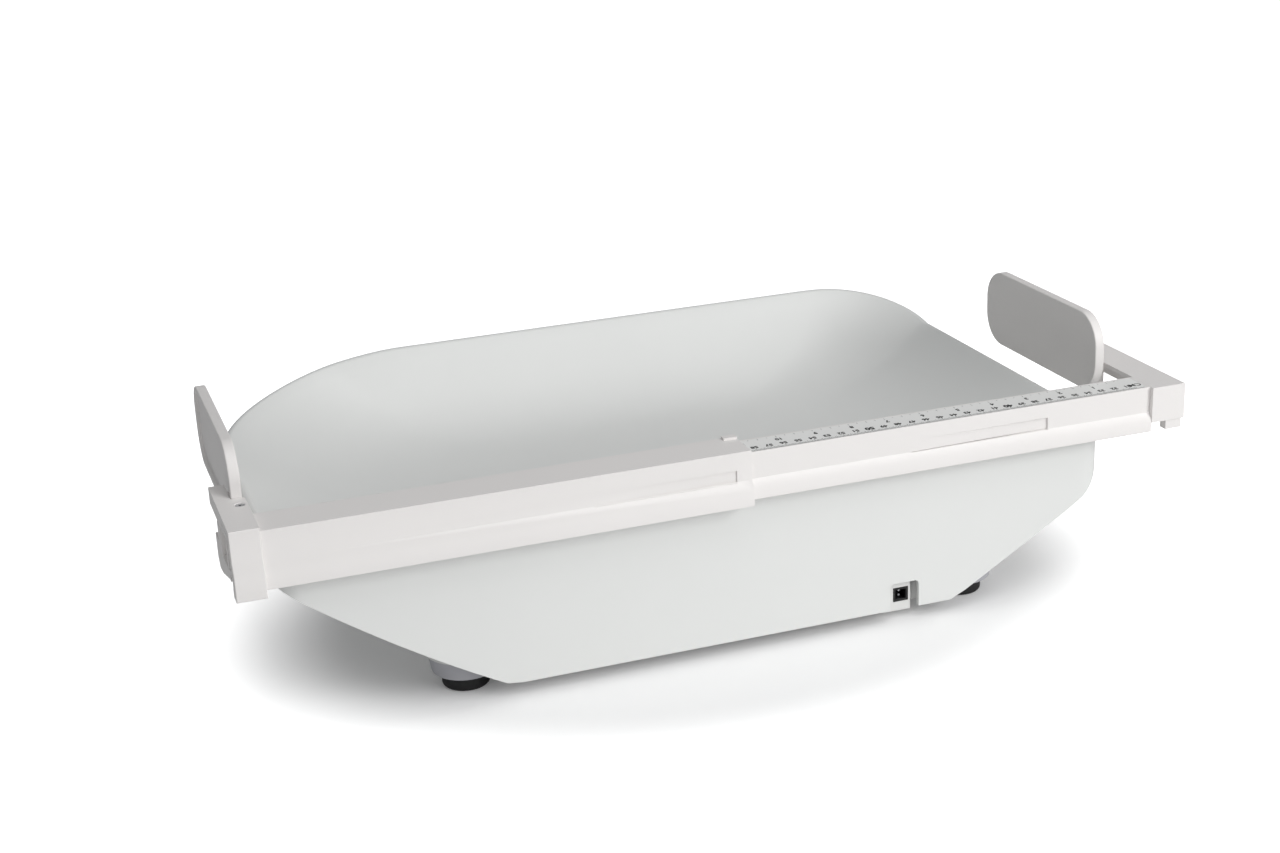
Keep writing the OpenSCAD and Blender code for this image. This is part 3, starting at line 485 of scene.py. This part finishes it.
def lettering(text: str, height: float, place: Matrix, name: str, bold: float = 0.0) -> bpy.types.Object:
    """Writes plain figures as a thin solid.

    Args:
        text: the figures.
        height: the text's size, in metres.
        place: where its middle lies and how it is turned.
        name: the piece's name.
        bold: how far the strokes are widened, in metres.

    Returns:
        The mesh, settled in its place.
    """
    bpy.ops.object.select_all(action="DESELECT")
    bpy.ops.object.text_add()
    letters = bpy.context.object
    letters.data.body = text
    letters.data.size = height
    letters.data.align_x = "CENTER"
    letters.data.align_y = "CENTER"
    letters.data.offset = bold
    letters.data.extrude = INK_THICK / 2 * MM
    letters.data.resolution_u = 3
    bpy.ops.object.convert(target="MESH")
    letters = bpy.context.object
    letters.matrix_world = place
    letters.name = name
    return settle(letters)


# ------------------------------------------------------------------ tray
@dataclass
class Tray:
    """The moulded lying tray: dish, rolled rim and skirt. Sizes are in millimetres."""

    head_reach: float = 295
    foot_reach: float = 268
    depth: float = 330
    rim_height: float = 138.7
    lip_height: float = 120
    floor_height: float = 80
    wall: float = 3
    rim_radius: float = 4
    flat_reach: float = 100
    ground: float = 9
    skirt_flat: float = 155
    head_corner: tuple[float, float] = (107, 142)
    foot_corner: tuple[float, float] = (68, 72)
    rear_corner: float = 16
    head_ease: tuple[float, float] = (140, 285)
    foot_ease: tuple[float, float] = (185, 268)
    power: float = 3
    side_step: float = 11
    head_steps: int = 40
    rear_steps: int = 12
    foot_steps: int = 30
    hem_slopes: tuple[float, float] = (0.53, 0.58)
    hem_curve: float = 0.00087
    hem_turn: float = 23
    hem_rise: float = 20
    dish_rings: int = 26
    roll_rings: int = 9
    skirt_rings: int = 10
    notch_half: float = 99
    notch_top: float = 74
    notch_round: float = 5
    inlet_x: float = -118.5
    inlet_half: float = 10.5
    inlet_top: float = 28
    inlet_round: float = 3
    cutter_inside: float = 12
    cutter_over: float = 10
    shade: float = 40

    def corner(self, centre: tuple[float, float], radii: tuple[float, float], start: float,
               stop: float, count: int) -> list[Station]:
        """Stations round one corner of the outline.

        Args:
            centre: the corner's centre.
            radii: its half axes.
            start: first angle in degrees.
            stop: last angle in degrees.
            count: number of steps.

        Returns:
            Each station's place and outward normal.
        """
        found = []
        for i in range(count + 1):
            turn = math.radians(start + (stop - start) * i / count)
            slope = Vector((math.cos(turn) / radii[0], math.sin(turn) / radii[1])).normalized()
            found.append((centre[0] + radii[0] * math.cos(turn),
                          centre[1] + radii[1] * math.sin(turn), *slope))
        return found

    def side(self, start: float, stop: float) -> list[float]:
        """Even values between two ends, without the ends."""
        count = max(2, round(abs(stop - start) / self.side_step))
        return [start + (stop - start) * i / count for i in range(1, count)]

    def outline(self) -> list[Station]:
        """Walks round the tray counter-clockwise, from the console's side.

        Returns:
            The stations, each with its place and outward normal.
        """
        half, r = self.depth / 2, self.rear_corner
        hx, hy = self.head_corner
        fx, fy = self.foot_corner
        head, foot = self.head_reach, -self.foot_reach
        return [
            *((x, -half, 0, -1) for x in self.side(foot + fx, head - hx)),
            *self.corner((head - hx, -half + hy), self.head_corner, -90, 0, self.head_steps),
            *((head, y, 1, 0) for y in self.side(-half + hy, half - r)),
            *self.corner((head - r, half - r), (r, r), 0, 90, self.rear_steps),
            *((x, half, 0, 1) for x in self.side(head - r, foot + r)),
            *self.corner((foot + r, half - r), (r, r), 90, 180, self.rear_steps),
            *((foot, y, -1, 0) for y in self.side(half - r, -half + fy)),
            *self.corner((foot + fx, -half + fy), self.foot_corner, 180, 270, self.foot_steps)]

    def rim(self, x: float) -> float:
        """Finds the rim's height: level in the middle, eased down to a lip at each end.

        Args:
            x: a place along the tray.

        Returns:
            The height there, above the floor that the scale stands on.
        """
        fall = self.rim_height - self.lip_height
        if x > 0:
            u = min(1, max(0, (x - self.head_ease[0]) / (self.head_ease[1] - self.head_ease[0])))
            return self.rim_height - fall * u * u * (3 - 2 * u)
        u = min(1, max(0, (-x - self.foot_ease[0]) / (self.foot_ease[1] - self.foot_ease[0])))
        return self.rim_height - fall * (1 - math.sqrt(1 - u * u))

    def hem(self, x: float) -> float:
        """Finds the height of the skirt's lower edge, which rises towards both ends.

        Args:
            x: a place along the tray.

        Returns:
            The height there, above the floor that the scale stands on.
        """
        if x > 0:
            d = max(0, x - self.skirt_flat)
            return self.ground + self.hem_slopes[0] * d + self.hem_curve * d * d
        d = max(0, -x - self.skirt_flat)
        u = min(1, max(0, (-x - self.foot_reach + self.hem_turn) / self.hem_turn))
        return self.ground + self.hem_slopes[1] * d + self.hem_rise * (1 - math.sqrt(1 - u * u))

    def column(self, station: Station) -> list[Point]:
        """Points from the dish over the rim and down the skirt.

        Args:
            station: a place on the outline and its outward normal.

        Returns:
            The points, from the dish's floor to the skirt's hem.
        """
        x, y, nx, ny = station
        share = self.flat_reach / self.head_reach
        top, radius = self.rim(x), self.rim_radius
        reach = x * nx + y * ny
        slope = self.power * (top - radius - self.floor_height) / ((1 - share) * reach)
        start = math.pi / 2 + math.atan(slope)

        def roll(turn: float) -> Point:
            """A point on the rolled rim; it faces outwards at 0 and up at a quarter turn."""
            out = radius * math.cos(turn) - radius
            return (x + nx * out, y + ny * out, top - radius + radius * math.sin(turn))

        edge = roll(start)
        points = []
        for j in range(self.dish_rings + 1):
            u = j / self.dish_rings
            part = share + (1 - share) * u
            points.append((edge[0] * part, edge[1] * part,
                           self.floor_height + (edge[2] - self.floor_height) * u ** self.power))
        points += [roll(start * (1 - k / self.roll_rings)) for k in range(1, self.roll_rings + 1)]
        bottom = self.hem(x)
        side_top = top - radius
        points += [(x, y, side_top + (bottom - side_top) * k / self.skirt_rings)
                   for k in range(1, self.skirt_rings + 1)]
        return points

    def build(self) -> None:
        """Lofts the shell, thickens it inwards and cuts its two notches."""
        columns = [self.column(station) for station in self.outline()]
        count, rings = len(columns), len(columns[0])
        points = [tuple(v * MM for v in columns[i][r]) for r in range(rings) for i in range(count)]
        faces = [tuple(range(count))]
        for r in range(rings - 1):
            for i in range(count):
                j = (i + 1) % count
                faces.append((r * count + i, (r + 1) * count + i, (r + 1) * count + j, r * count + j))
        mesh = bpy.data.meshes.new("tray")
        mesh.from_pydata(points, [], faces)
        shell = bpy.data.objects.new("tray", mesh)
        bpy.context.scene.collection.objects.link(shell)
        apply_modifier(shell, "SOLIDIFY", thickness=self.wall * MM, offset=-1, use_even_offset=True)
        half = self.depth / 2
        inside, outside, below = half - self.cutter_inside, half + self.cutter_over, -self.cutter_over
        window = block((-self.notch_half * MM, -outside * MM, below * MM),
                       (self.notch_half * MM, -inside * MM, self.notch_top * MM), "console_notch")
        soften(window, self.notch_round * MM, segments=4)
        cut(shell, window)
        arch = block(((self.inlet_x - self.inlet_half) * MM, inside * MM, below * MM),
                     ((self.inlet_x + self.inlet_half) * MM, outside * MM, self.inlet_top * MM),
                     "inlet_notch")
        soften(arch, self.inlet_round * MM, segments=5)
        cut(shell, arch)
        smooth(shell, self.shade)
        dress(shell, SHELL, Body.BASE, "shell_white", "tray_shell")


# ------------------------------------------------------------------ measuring rod
@dataclass
class Paddle:
    """A rounded plate that touches the head or the feet. Sizes are in millimetres."""

    name: str
    node: str
    body: Body
    inner: float
    outwards: int
    tongue: tuple[Point, Point] | None = None
    near: float = 126
    length: float = 154
    low: float = 123
    height: float = 55
    thick: float = 7
    radius: float = 22
    rim: float = 4.2
    recess: float = 2.4
    edge: float = 0.9
    tongue_edge: float = 0.4
    corner_steps: int = 16

    def stand(self) -> Matrix:
        """Turns the flat blank upright, its top side outwards, and puts it in its place.

        Returns:
            The place and turn of the blank.
        """
        middle = (self.inner * MM, (self.near - self.length / 2) * MM, (self.low + self.height / 2) * MM)
        across = Matrix(((0, 0, self.outwards), (self.outwards, 0, 0), (0, 1, 0))).to_4x4()
        return Matrix.Translation(middle) @ across

    def build(self) -> None:
        """Rounds a blank, thickens it and sinks a shallow tray into its outer side."""
        bpy.ops.object.select_all(action="DESELECT")
        bpy.ops.mesh.primitive_plane_add(size=1)
        plate = bpy.context.object
        plate.name = self.name
        plate.scale = (self.length * MM, self.height * MM, 1)
        settle(plate)
        bpy.ops.object.mode_set(mode="EDIT")
        bpy.ops.mesh.select_all(action="SELECT")
        bpy.ops.mesh.bevel(offset=self.radius * MM, segments=self.corner_steps, affect="VERTICES")
        bpy.ops.mesh.select_all(action="SELECT")
        bpy.ops.mesh.extrude_region_move(TRANSFORM_OT_translate={"value": (0, 0, self.thick * MM)})
        bpy.ops.mesh.inset(thickness=self.rim * MM, depth=0)
        bpy.ops.mesh.extrude_region_move(TRANSFORM_OT_translate={"value": (0, 0, -self.recess * MM)})
        bpy.ops.mesh.select_all(action="SELECT")
        bpy.ops.mesh.normals_make_consistent(inside=False)
        bpy.ops.object.mode_set(mode="OBJECT")
        plate.matrix_world = self.stand()
        settle(plate)
        soften(plate, self.edge * MM)
        if self.tongue:
            low, high = self.tongue
            tongue = block([v * MM for v in low], [v * MM for v in high], "tongue")
            soften(tongue, self.tongue_edge * MM, segments=2)
            plate = join([plate, tongue], self.name)
        dress(plate, ROD, self.body, "rod_white", self.node)


@dataclass
class MeasuringRod:
    """Rail, sleeve, head block and foot arm. Sizes are in millimetres."""

    sleeve_end: float = -6
    sleeve_top: float = 144
    sleeve_front: float = 180
    block_to: float = 320
    block_top: float = 147
    cap_to: float = -295
    cap_front: float = 179
    front: float = 176
    top: float = 142
    slack: float = 0.1
    small: float = 0.45
    rail_round: float = 0.8
    sleeve_round: float = 0.9
    block_round: float = 1.6
    cap_round: float = 1.2
    rail_groove: tuple[float, float] = (-217.5, -118)
    sleeve_groove: tuple[float, float] = (4, 98)
    groove_level: tuple[float, float] = (123.8, 124.35)
    groove_deep: float = 1.7
    groove_shade: float = 32
    foot_face: float = -283
    head_face: float = 303
    tongue: tuple[Point, Point] = ((303.05, 104, 136), (309.95, 142.7, 143.9))

    def moulding(self, node: str, body: Body, width: float, where: Callable[[Vector], bool],
                 groove: tuple[float, float, float] | None = None) -> None:
        """Copies one CAD node, rounds its main edges well and the others a little.

        Args:
            node: the CAD node.
            body: the body that it moves with.
            width: radius of the main edges.
            where: tells a main edge by its middle, in millimetres.
            groove: the ends of a thin groove under the node's pocket, and the face that it is cut into.
        """
        piece = node_copy(node, f"{node}_moulding")
        round_edges(piece, width, where)
        soften(piece, self.small * MM, segments=2, degrees=SHARP_FROM)
        if groove:
            start, stop, face = groove
            low, high = self.groove_level
            cut(piece, block((start * MM, (face - self.groove_deep) * MM, low * MM),
                             (stop * MM, (face + 1) * MM, high * MM), "groove"))
            even_shading(piece, self.groove_shade)
        dress(piece, ROD, body, "rod_white", node)

    def build(self) -> None:
        """Rounds the rod's moulded pieces and adds both paddles."""
        top, front = self.top - self.slack, self.front - self.slack
        self.moulding("rail", Body.ROD, self.rail_round, lambda m: m.z > top and m.y > front,
                      groove=(*self.rail_groove, self.front))
        self.moulding("sleeve", Body.SLIDER, self.sleeve_round,
                      lambda m: (m.z > self.sleeve_top - self.slack and m.y > self.sleeve_front - 2
                                 and m.x > self.sleeve_end + 1),
                      groove=(*self.sleeve_groove, self.sleeve_front))
        self.moulding("head_block", Body.SLIDER, self.block_round,
                      lambda m: (m.y > self.sleeve_front
                                 or (m.z > self.block_top - self.slack and m.x > self.block_to - self.slack)))
        self.moulding("foot_arm", Body.ROD, self.cap_round,
                      lambda m: m.x < self.cap_to + self.slack and (m.y > self.cap_front or m.z > top))
        Paddle("foot_plate", "foot_paddle", Body.ROD, self.foot_face, -1).build()
        Paddle("head_plate", "head_paddle", Body.SLIDER, self.head_face, 1, tongue=self.tongue).build()


@dataclass(frozen=True)
class TickRow:
    """One row of equal ticks, measured in millimetres behind the strip's front edge."""

    name: str
    near: float
    far: float
    width: float


@dataclass
class RulerPrint:
    """Figures and ticks on the ruler strip, and a dark line along its front edge that is partly print and
    partly painted shadow. Sizes are in millimetres.
    """

    top: float = 142.0
    front: float = 176.0
    start: float = -292.5
    stop: float = 311.5
    first_cm: int = 31
    last_cm: int = 90
    cm_zero: float = -592.0
    first_inch: int = 13
    last_inch: int = 35
    inch_zero: float = -590.7
    inch: float = 25.4
    first_tick: int = -286
    last_tick: int = 310
    cm_row: float = 7.8
    inch_row: float = 15.4
    figure: float = 5.0
    big_figure: float = 6.2
    bold: float = 0.2
    big_bold: float = 0.32
    unit_at: tuple[float, float] = (-288.0, 8.3)
    unit_bold: float = 0.1
    # the dark line along the strip's front edge: partly print, partly painted shadow along that edge
    line: tuple[float, float] = (1.3, 1.65)
    line_short: float = 2
    millimetres: TickRow = TickRow("millimetres", 2.2, 3.6, 0.22)
    halves: TickRow = TickRow("halves", 2.2, 4.4, 0.24)
    centimetres: TickRow = TickRow("centimetres", 2.2, 5.0, 0.3)
    quarters: TickRow = TickRow("quarters", 19.8, 21.4, 0.2)
    half_inches: TickRow = TickRow("half_inches", 18.8, 21.4, 0.2)

    def write(self, text: str, height: float, x: float, behind: float, bold: float) -> bpy.types.Object:
        """Prints one figure or unit on the strip.

        Args:
            text: what it says.
            height: its size.
            x: where its middle lies along the strip.
            behind: how far its middle lies behind the front edge.
            bold: how far its strokes are widened.

        Returns:
            The print, as a thin solid.
        """
        place = Matrix.Translation((x * MM, (self.front - behind) * MM, (self.top + INK_THICK / 2) * MM))
        return lettering(text, height * MM, place, "figure", bold * MM)

    def tick(self, x: float, near: float, far: float, width: float) -> bpy.types.Object:
        """Prints one straight line across the strip.

        Args:
            x: its middle along the strip.
            near: where it begins behind the front edge.
            far: where it ends.
            width: its size along the strip.

        Returns:
            The line, as a thin solid.
        """
        return block(((x - width / 2) * MM, (self.front - far) * MM, self.top * MM),
                     ((x + width / 2) * MM, (self.front - near) * MM, (self.top + INK_THICK) * MM), "tick")

    def ticks(self, row: TickRow, xs: list[float]) -> bpy.types.Object:
        """Prints a row of equal ticks: one is modelled and the others are copies of its mesh.

        Args:
            row: where the ticks begin and end, and how wide they are.
            xs: their middles along the strip.

        Returns:
            The row as one piece.
        """
        first = self.tick(xs[0], row.near, row.far, row.width)
        copies = [first]
        for x in xs[1:]:
            copy = first.copy()
            copy.data = first.data.copy()
            copy.data.transform(Matrix.Translation(((x - xs[0]) * MM, 0, 0)))
            bpy.context.scene.collection.objects.link(copy)
            copies.append(copy)
        return join(copies, row.name)

    def build(self) -> None:
        """Prints both scales, with the dark front line that is partly painted shadow, as one thin piece that
        rides on the rod.
        """
        parts = []
        for mark in range(self.first_cm, self.last_cm + 1):
            big = mark % 10 == 0
            parts.append(self.write(str(mark), self.big_figure if big else self.figure,
                                    10 * mark + self.cm_zero, self.cm_row,
                                    self.big_bold if big else self.bold))
        for mark in range(self.first_inch, self.last_inch + 1):
            feet, rest = divmod(mark, 12)
            parts.append(self.write(str(rest) if rest else f"{feet}FT", self.figure,
                                    mark * self.inch + self.inch_zero, self.inch_row, self.bold))
        parts.append(self.write("CM", self.big_figure, *self.unit_at, self.unit_bold))
        # the long dark line near the front edge: partly print, partly painted shadow
        parts.append(self.tick((self.start + self.stop) / 2, *self.line,
                               self.stop - self.start - self.line_short))
        whole = range(self.first_tick, self.last_tick + 1)
        parts.append(self.ticks(self.millimetres, [x for x in whole if (x - self.cm_zero) % 5]))
        parts.append(self.ticks(self.halves, [x for x in whole if (x - self.cm_zero) % 10 == 5]))
        parts.append(self.ticks(self.centimetres, [x for x in whole if (x - self.cm_zero) % 10 == 0]))
        quarter = self.inch / 4
        first = 12 * self.inch + self.inch_zero + quarter
        steps = [first + i * quarter for i in range(math.ceil((self.stop - first) / quarter))]
        parts.append(self.ticks(self.quarters, steps[::2]))
        parts.append(self.ticks(self.half_inches, steps[1::2]))
        dress(join(parts, "ruler_print_and_painted_shadow"), INK_AND_PAINTED_SHADOW, Body.ROD, "ruler_grey")


# ------------------------------------------------------------------ base and console
@dataclass
class BaseFittings:
    """Feet, collars, inlet, console housing and battery lid, with the radius of each one's edges in mm."""

    feet: float = 0.8
    collars: float = 0.8
    inlet: float = 0.5
    housing: float = 0.9
    lid: float = 0.4

    def build(self) -> None:
        """Rounds a copy of each of these nodes."""
        for node, finish, slot, width in (("rubber_feet", RUBBER, "foot_rubber", self.feet),
                                          ("foot_collars", SHADED_COLLAR, "collar_grey", self.collars),
                                          ("power_inlet", SOCKET, "socket_black", self.inlet),
                                          ("console_housing", HOUSING, "console_white", self.housing)):
            piece = node_copy(node, f"{node}_moulding")
            soften(piece, width * MM)
            dress(piece, finish, Body.BASE, slot, node)
        lid = node_copy("battery_lid", "battery_lid_moulding")
        soften(lid, self.lid * MM, segments=2)
        dress(lid, HOUSING, Body.LID, "console_white", "battery_lid")


LIT_BARS = {"0": "abcdef", "1": "bc", "2": "abged", "3": "abgcd", "4": "fgbc", "5": "afgcd",
            "6": "afgedc", "7": "abc", "8": "abcdefg", "9": "abfgcd"}
POINT_PITCH, BAR_GAP, DIGIT_GAP = 1.5, 0.6, 2.4


@dataclass
class Console:
    """Window, figures and keys on the leaning face. Sizes are in millimetres."""

    middle: tuple[float, float] = (-174.924, 39.311)
    lean: float = 20
    window_x: float = -26
    window: tuple[float, float] = (104, 36)
    pane_edge: float = 0.2
    mask_inset: float = 0.6
    mask_width: float = 6
    mask_thick: float = 0.08
    mask_front: float = 0.02
    key_x: float = 58
    key_edge: float = 0.45
    pitch: float = 17
    proud: float = 1.2
    word: float = 3.6
    reading: str = "0.000"
    digit: float = 15
    digit_width: float = 0.55
    stroke: float = 0.12
    lcd_front: float = 2.8

    def face(self, x: float, behind: float, up: float) -> Matrix:
        """Finds a place on the leaning face, turned to stand in it and to read from the front.

        Args:
            x: how far it lies to the side.
            behind: how deep it lies under the face.
            up: how far it lies above the face's middle.

        Returns:
            The place and its turn.
        """
        lean = Matrix.Rotation(math.radians(-self.lean), 4, "X")
        base = Matrix.Translation((0, self.middle[0] * MM, self.middle[1] * MM))
        stand = Matrix.Rotation(math.radians(90), 4, "X")
        return base @ lean @ Matrix.Translation((x * MM, behind * MM, up * MM)) @ stand

    def mask(self) -> None:
        """Makes the dark printed frame behind the window's edge."""
        bpy.ops.object.select_all(action="DESELECT")
        bpy.ops.mesh.primitive_plane_add(size=1)
        ring = bpy.context.object
        ring.scale = (*((side - self.mask_inset) * MM for side in self.window), 1)
        settle(ring)
        bpy.ops.object.mode_set(mode="EDIT")
        bpy.ops.mesh.select_all(action="SELECT")
        bpy.ops.mesh.inset(thickness=self.mask_width * MM, depth=0)
        bpy.ops.mesh.delete(type="FACE")
        bpy.ops.mesh.select_all(action="SELECT")
        bpy.ops.mesh.extrude_region_move(
            TRANSFORM_OT_translate={"value": (0, 0, self.mask_thick * MM)})
        bpy.ops.mesh.select_all(action="SELECT")
        bpy.ops.mesh.normals_make_consistent(inside=False)
        bpy.ops.object.mode_set(mode="OBJECT")
        ring.matrix_world = self.face(self.window_x, -self.mask_front, 0)
        ring.name = "window_mask"
        settle(ring)
        dress(ring, MASK, Body.BASE, "window_tint")

    def bar(self, middle: tuple[float, float], half: tuple[float, float], name: str) -> bpy.types.Object:
        """Makes one flat bar of a figure from its middle and its half sizes."""
        return block([(m - h) * MM for m, h in zip(middle, half)] + [0],
                     [(m + h) * MM for m, h in zip(middle, half)] + [INK_THICK * MM], name)

    def figures(self) -> bpy.types.Object:
        """Makes the display's reading in seven-segment figures.

        Returns:
            The figures as one mesh, centred on its origin.
        """
        width, stroke, half = self.digit * self.digit_width, self.digit * self.stroke, self.digit / 2
        bars = {"a": (0, half, True), "g": (0, 0, True), "d": (0, -half, True),
                "f": (-width / 2, half / 2, False), "b": (width / 2, half / 2, False),
                "e": (-width / 2, -half / 2, False), "c": (width / 2, -half / 2, False)}
        parts, x = [], 0.0
        for sign in self.reading:
            if sign == ".":
                parts.append(self.bar((x - stroke / 2, -half), (stroke / 2, stroke / 2), "point"))
                x += stroke * POINT_PITCH
                continue
            for label in LIT_BARS[sign]:
                across, up, flat = bars[label]
                long = (width if flat else half) / 2 - stroke * BAR_GAP
                parts.append(self.bar((x + width / 2 + across, up),
                                      (long, stroke / 2) if flat else (stroke / 2, long), "bar"))
            x += width + stroke * DIGIT_GAP
        figures = join(parts, "display_figures")
        figures.data.transform(Matrix.Translation((-x / 2 * MM, 0, 0)))
        return figures

    def build(self) -> None:
        """Builds the window, its mask, the display's figures and the keys' marks."""
        pane = node_copy("display_window", "window_pane")
        soften(pane, self.pane_edge * MM, segments=2)
        dress(pane, PANE, Body.BASE, "window_tint", "display_window")
        self.mask()
        figures = self.figures()
        figures.matrix_world = self.face(self.window_x, self.lcd_front, 0)
        settle(figures)
        dress(figures, INK_AND_PAINTED_SHADOW, Body.BASE, "lcd_grey")
        for mark, body, row, word in (("power", Body.POWER, 1, "ON/OFF"), ("tare", Body.TARE, 0, "TARE"),
                                      ("unit", Body.UNIT, -1, "KG/LB")):
            cap = node_copy(f"{mark}_key", f"{mark}_cap")
            soften(cap, self.key_edge * MM)
            dress(cap, KEY, body, "key_grey", f"{mark}_key")
            place = self.face(self.key_x, -self.proud, row * self.pitch)
            dress(lettering(word, self.word * MM, place, f"{mark}_mark"), INK_AND_PAINTED_SHADOW, body, "key_grey")


# ------------------------------------------------------------------ studio
@dataclass(frozen=True)
class Lamp:
    """A soft square lamp that faces the scale. Sizes are in metres, its power in watts."""

    name: str
    at: Point
    size: float
    power: float
    aim: Point = (0, 0, 0.08)

    def build(self) -> None:
        """Hangs the lamp and turns it towards the scale."""
        data = bpy.data.lights.new(self.name, "AREA")
        data.shape = "SQUARE"
        data.size = self.size
        data.energy = self.power
        lamp = bpy.data.objects.new(self.name, data)
        lamp.location = self.at
        lamp.rotation_euler = (Vector(self.aim) - Vector(self.at)).to_track_quat("-Z", "Y").to_euler()
        bpy.context.scene.collection.objects.link(lamp)


@dataclass
class Studio:
    """Floor, light and the photograph's camera. Sizes are in metres, the focal length in pixels."""

    camera_at: Point = (0.4341, 1.2773, 0.5796)
    azimuth: float = -18.489
    elevation: float = 19.400
    roll: float = -2.605
    focal: float = 2016.7
    image_width: int = 1280
    sensor: float = 36
    far: float = 50
    floor_size: float = 30
    floor_white: float = 0.9
    # glow seen by camera rays only: weak inside an oval round the scale, so the floor there shows painted
    # shade, and strong beyond it, painting over the shadow there
    floor_glow: tuple[float, float, float, float] = (0.17, 0.27, 0.10, 0.95)
    glow_oval: float = 1.35
    glow_front: float = 0.06
    room_light: float = 0.25
    room_tint: Point = (0.96, 0.98, 1)
    lamps: tuple[Lamp, ...] = (Lamp("key", (-1.1, 2.0, 1.15), 1.2, 31), Lamp("over", (0, 1.0, 2.2), 1.6, 16))

    def camera(self) -> None:
        """Stands the camera where the photograph was taken from."""
        az, el, roll = (math.radians(v) for v in (self.azimuth, self.elevation, self.roll))
        back = Vector((-math.sin(az) * math.cos(el), math.cos(az) * math.cos(el), math.sin(el)))
        right = Vector((-math.cos(az), -math.sin(az), 0))
        up = back.cross(right)
        across = math.cos(roll) * right + math.sin(roll) * up
        upward = -math.sin(roll) * right + math.cos(roll) * up
        turn = Matrix((across, upward, back)).transposed().to_4x4()
        data = bpy.data.cameras.new("camera")
        data.sensor_width = self.sensor
        data.lens = self.focal / self.image_width * self.sensor
        data.clip_end = self.far
        camera = bpy.data.objects.new("camera", data)
        bpy.context.scene.collection.objects.link(camera)
        camera.matrix_world = Matrix.Translation(self.camera_at) @ turn
        bpy.context.scene.camera = camera

    def floor(self) -> None:
        """Lays a wide white floor that keeps the scale's shadow, with painted shade round the scale and a
        painted glow beyond it.
        """
        bpy.ops.object.select_all(action="DESELECT")
        bpy.ops.mesh.primitive_plane_add(size=self.floor_size, location=(0, 0, 0))
        floor = bpy.context.object
        floor.name = "floor"
        material = bpy.data.materials.new("floor_white")
        material.use_nodes = True
        nodes, links = material.node_tree.nodes, material.node_tree.links
        shader = nodes["Principled BSDF"]
        shader.inputs["Base Color"].default_value = (*(self.floor_white,) * 3, 1)
        shader.inputs["Roughness"].default_value = 1
        shader.inputs["Specular IOR Level"].default_value = 0
        shader.inputs["Emission Color"].default_value = (1, 1, 1, 1)
        # painted light: the glow grows with distance from an oval round the scale, so the floor near the
        # scale is painted darker and the floor farther out painted white
        place = nodes.new("ShaderNodeTexCoord").outputs["Object"]
        oval = nodes.new("ShaderNodeVectorMath")
        oval.operation = "MULTIPLY_ADD"
        oval.inputs[1].default_value = (1 / self.glow_oval, 1, 0)
        oval.inputs[2].default_value = (0, -self.glow_front, 0)
        links.new(place, oval.inputs[0])
        away = nodes.new("ShaderNodeVectorMath")
        away.operation = "LENGTH"
        links.new(oval.outputs[0], away.inputs[0])
        glow = nodes.new("ShaderNodeMapRange")
        glow.interpolation_type = "SMOOTHSTEP"
        for label, value in zip(("From Min", "From Max", "To Min", "To Max"), self.floor_glow):
            glow.inputs[label].default_value = value
        links.new(away.outputs["Value"], glow.inputs["Value"])
        path = nodes.new("ShaderNodeLightPath")
        lift = nodes.new("ShaderNodeMath")
        lift.operation = "MULTIPLY"
        links.new(path.outputs["Is Camera Ray"], lift.inputs[0])
        links.new(glow.outputs["Result"], lift.inputs[1])
        links.new(lift.outputs[0], shader.inputs["Emission Strength"])
        floor.data.materials.append(material)

    def world(self) -> None:
        """Fills the room with even light and shows white behind the scale."""
        world = bpy.data.worlds.new("studio")
        bpy.context.scene.world = world
        world.use_nodes = True
        nodes, links = world.node_tree.nodes, world.node_tree.links
        room = nodes["Background"]
        room.inputs["Color"].default_value = (*self.room_tint, 1)
        room.inputs["Strength"].default_value = self.room_light
        backdrop = nodes.new("ShaderNodeBackground")
        backdrop.inputs["Strength"].default_value = 1
        path = nodes.new("ShaderNodeLightPath")
        mix = nodes.new("ShaderNodeMixShader")
        links.new(path.outputs["Is Camera Ray"], mix.inputs["Fac"])
        links.new(room.outputs["Background"], mix.inputs[1])
        links.new(backdrop.outputs["Background"], mix.inputs[2])
        links.new(mix.outputs["Shader"], nodes["World Output"].inputs["Surface"])

    def build(self) -> None:
        """Sets up the camera, the floor, the room and the lamps."""
        self.camera()
        self.floor()
        self.world()
        for lamp in self.lamps:
            lamp.build()
        bpy.context.scene.view_settings.view_transform = "Standard"


def main() -> None:
    """Builds every sub-assembly in order."""
    logging.basicConfig(level=logging.INFO, format="%(message)s")
    Studio().build()
    for finish, nodes in CAD_FINISH.items():
        for node in nodes:
            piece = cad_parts[node]
            piece.data.materials.clear()
            piece.data.materials.append(finish.material())
    Tray().build()
    MeasuringRod().build()
    RulerPrint().build()
    BaseFittings().build()
    Console().build()
    bpy.context.view_layer.update()


if __name__ == "__main__":
    main()
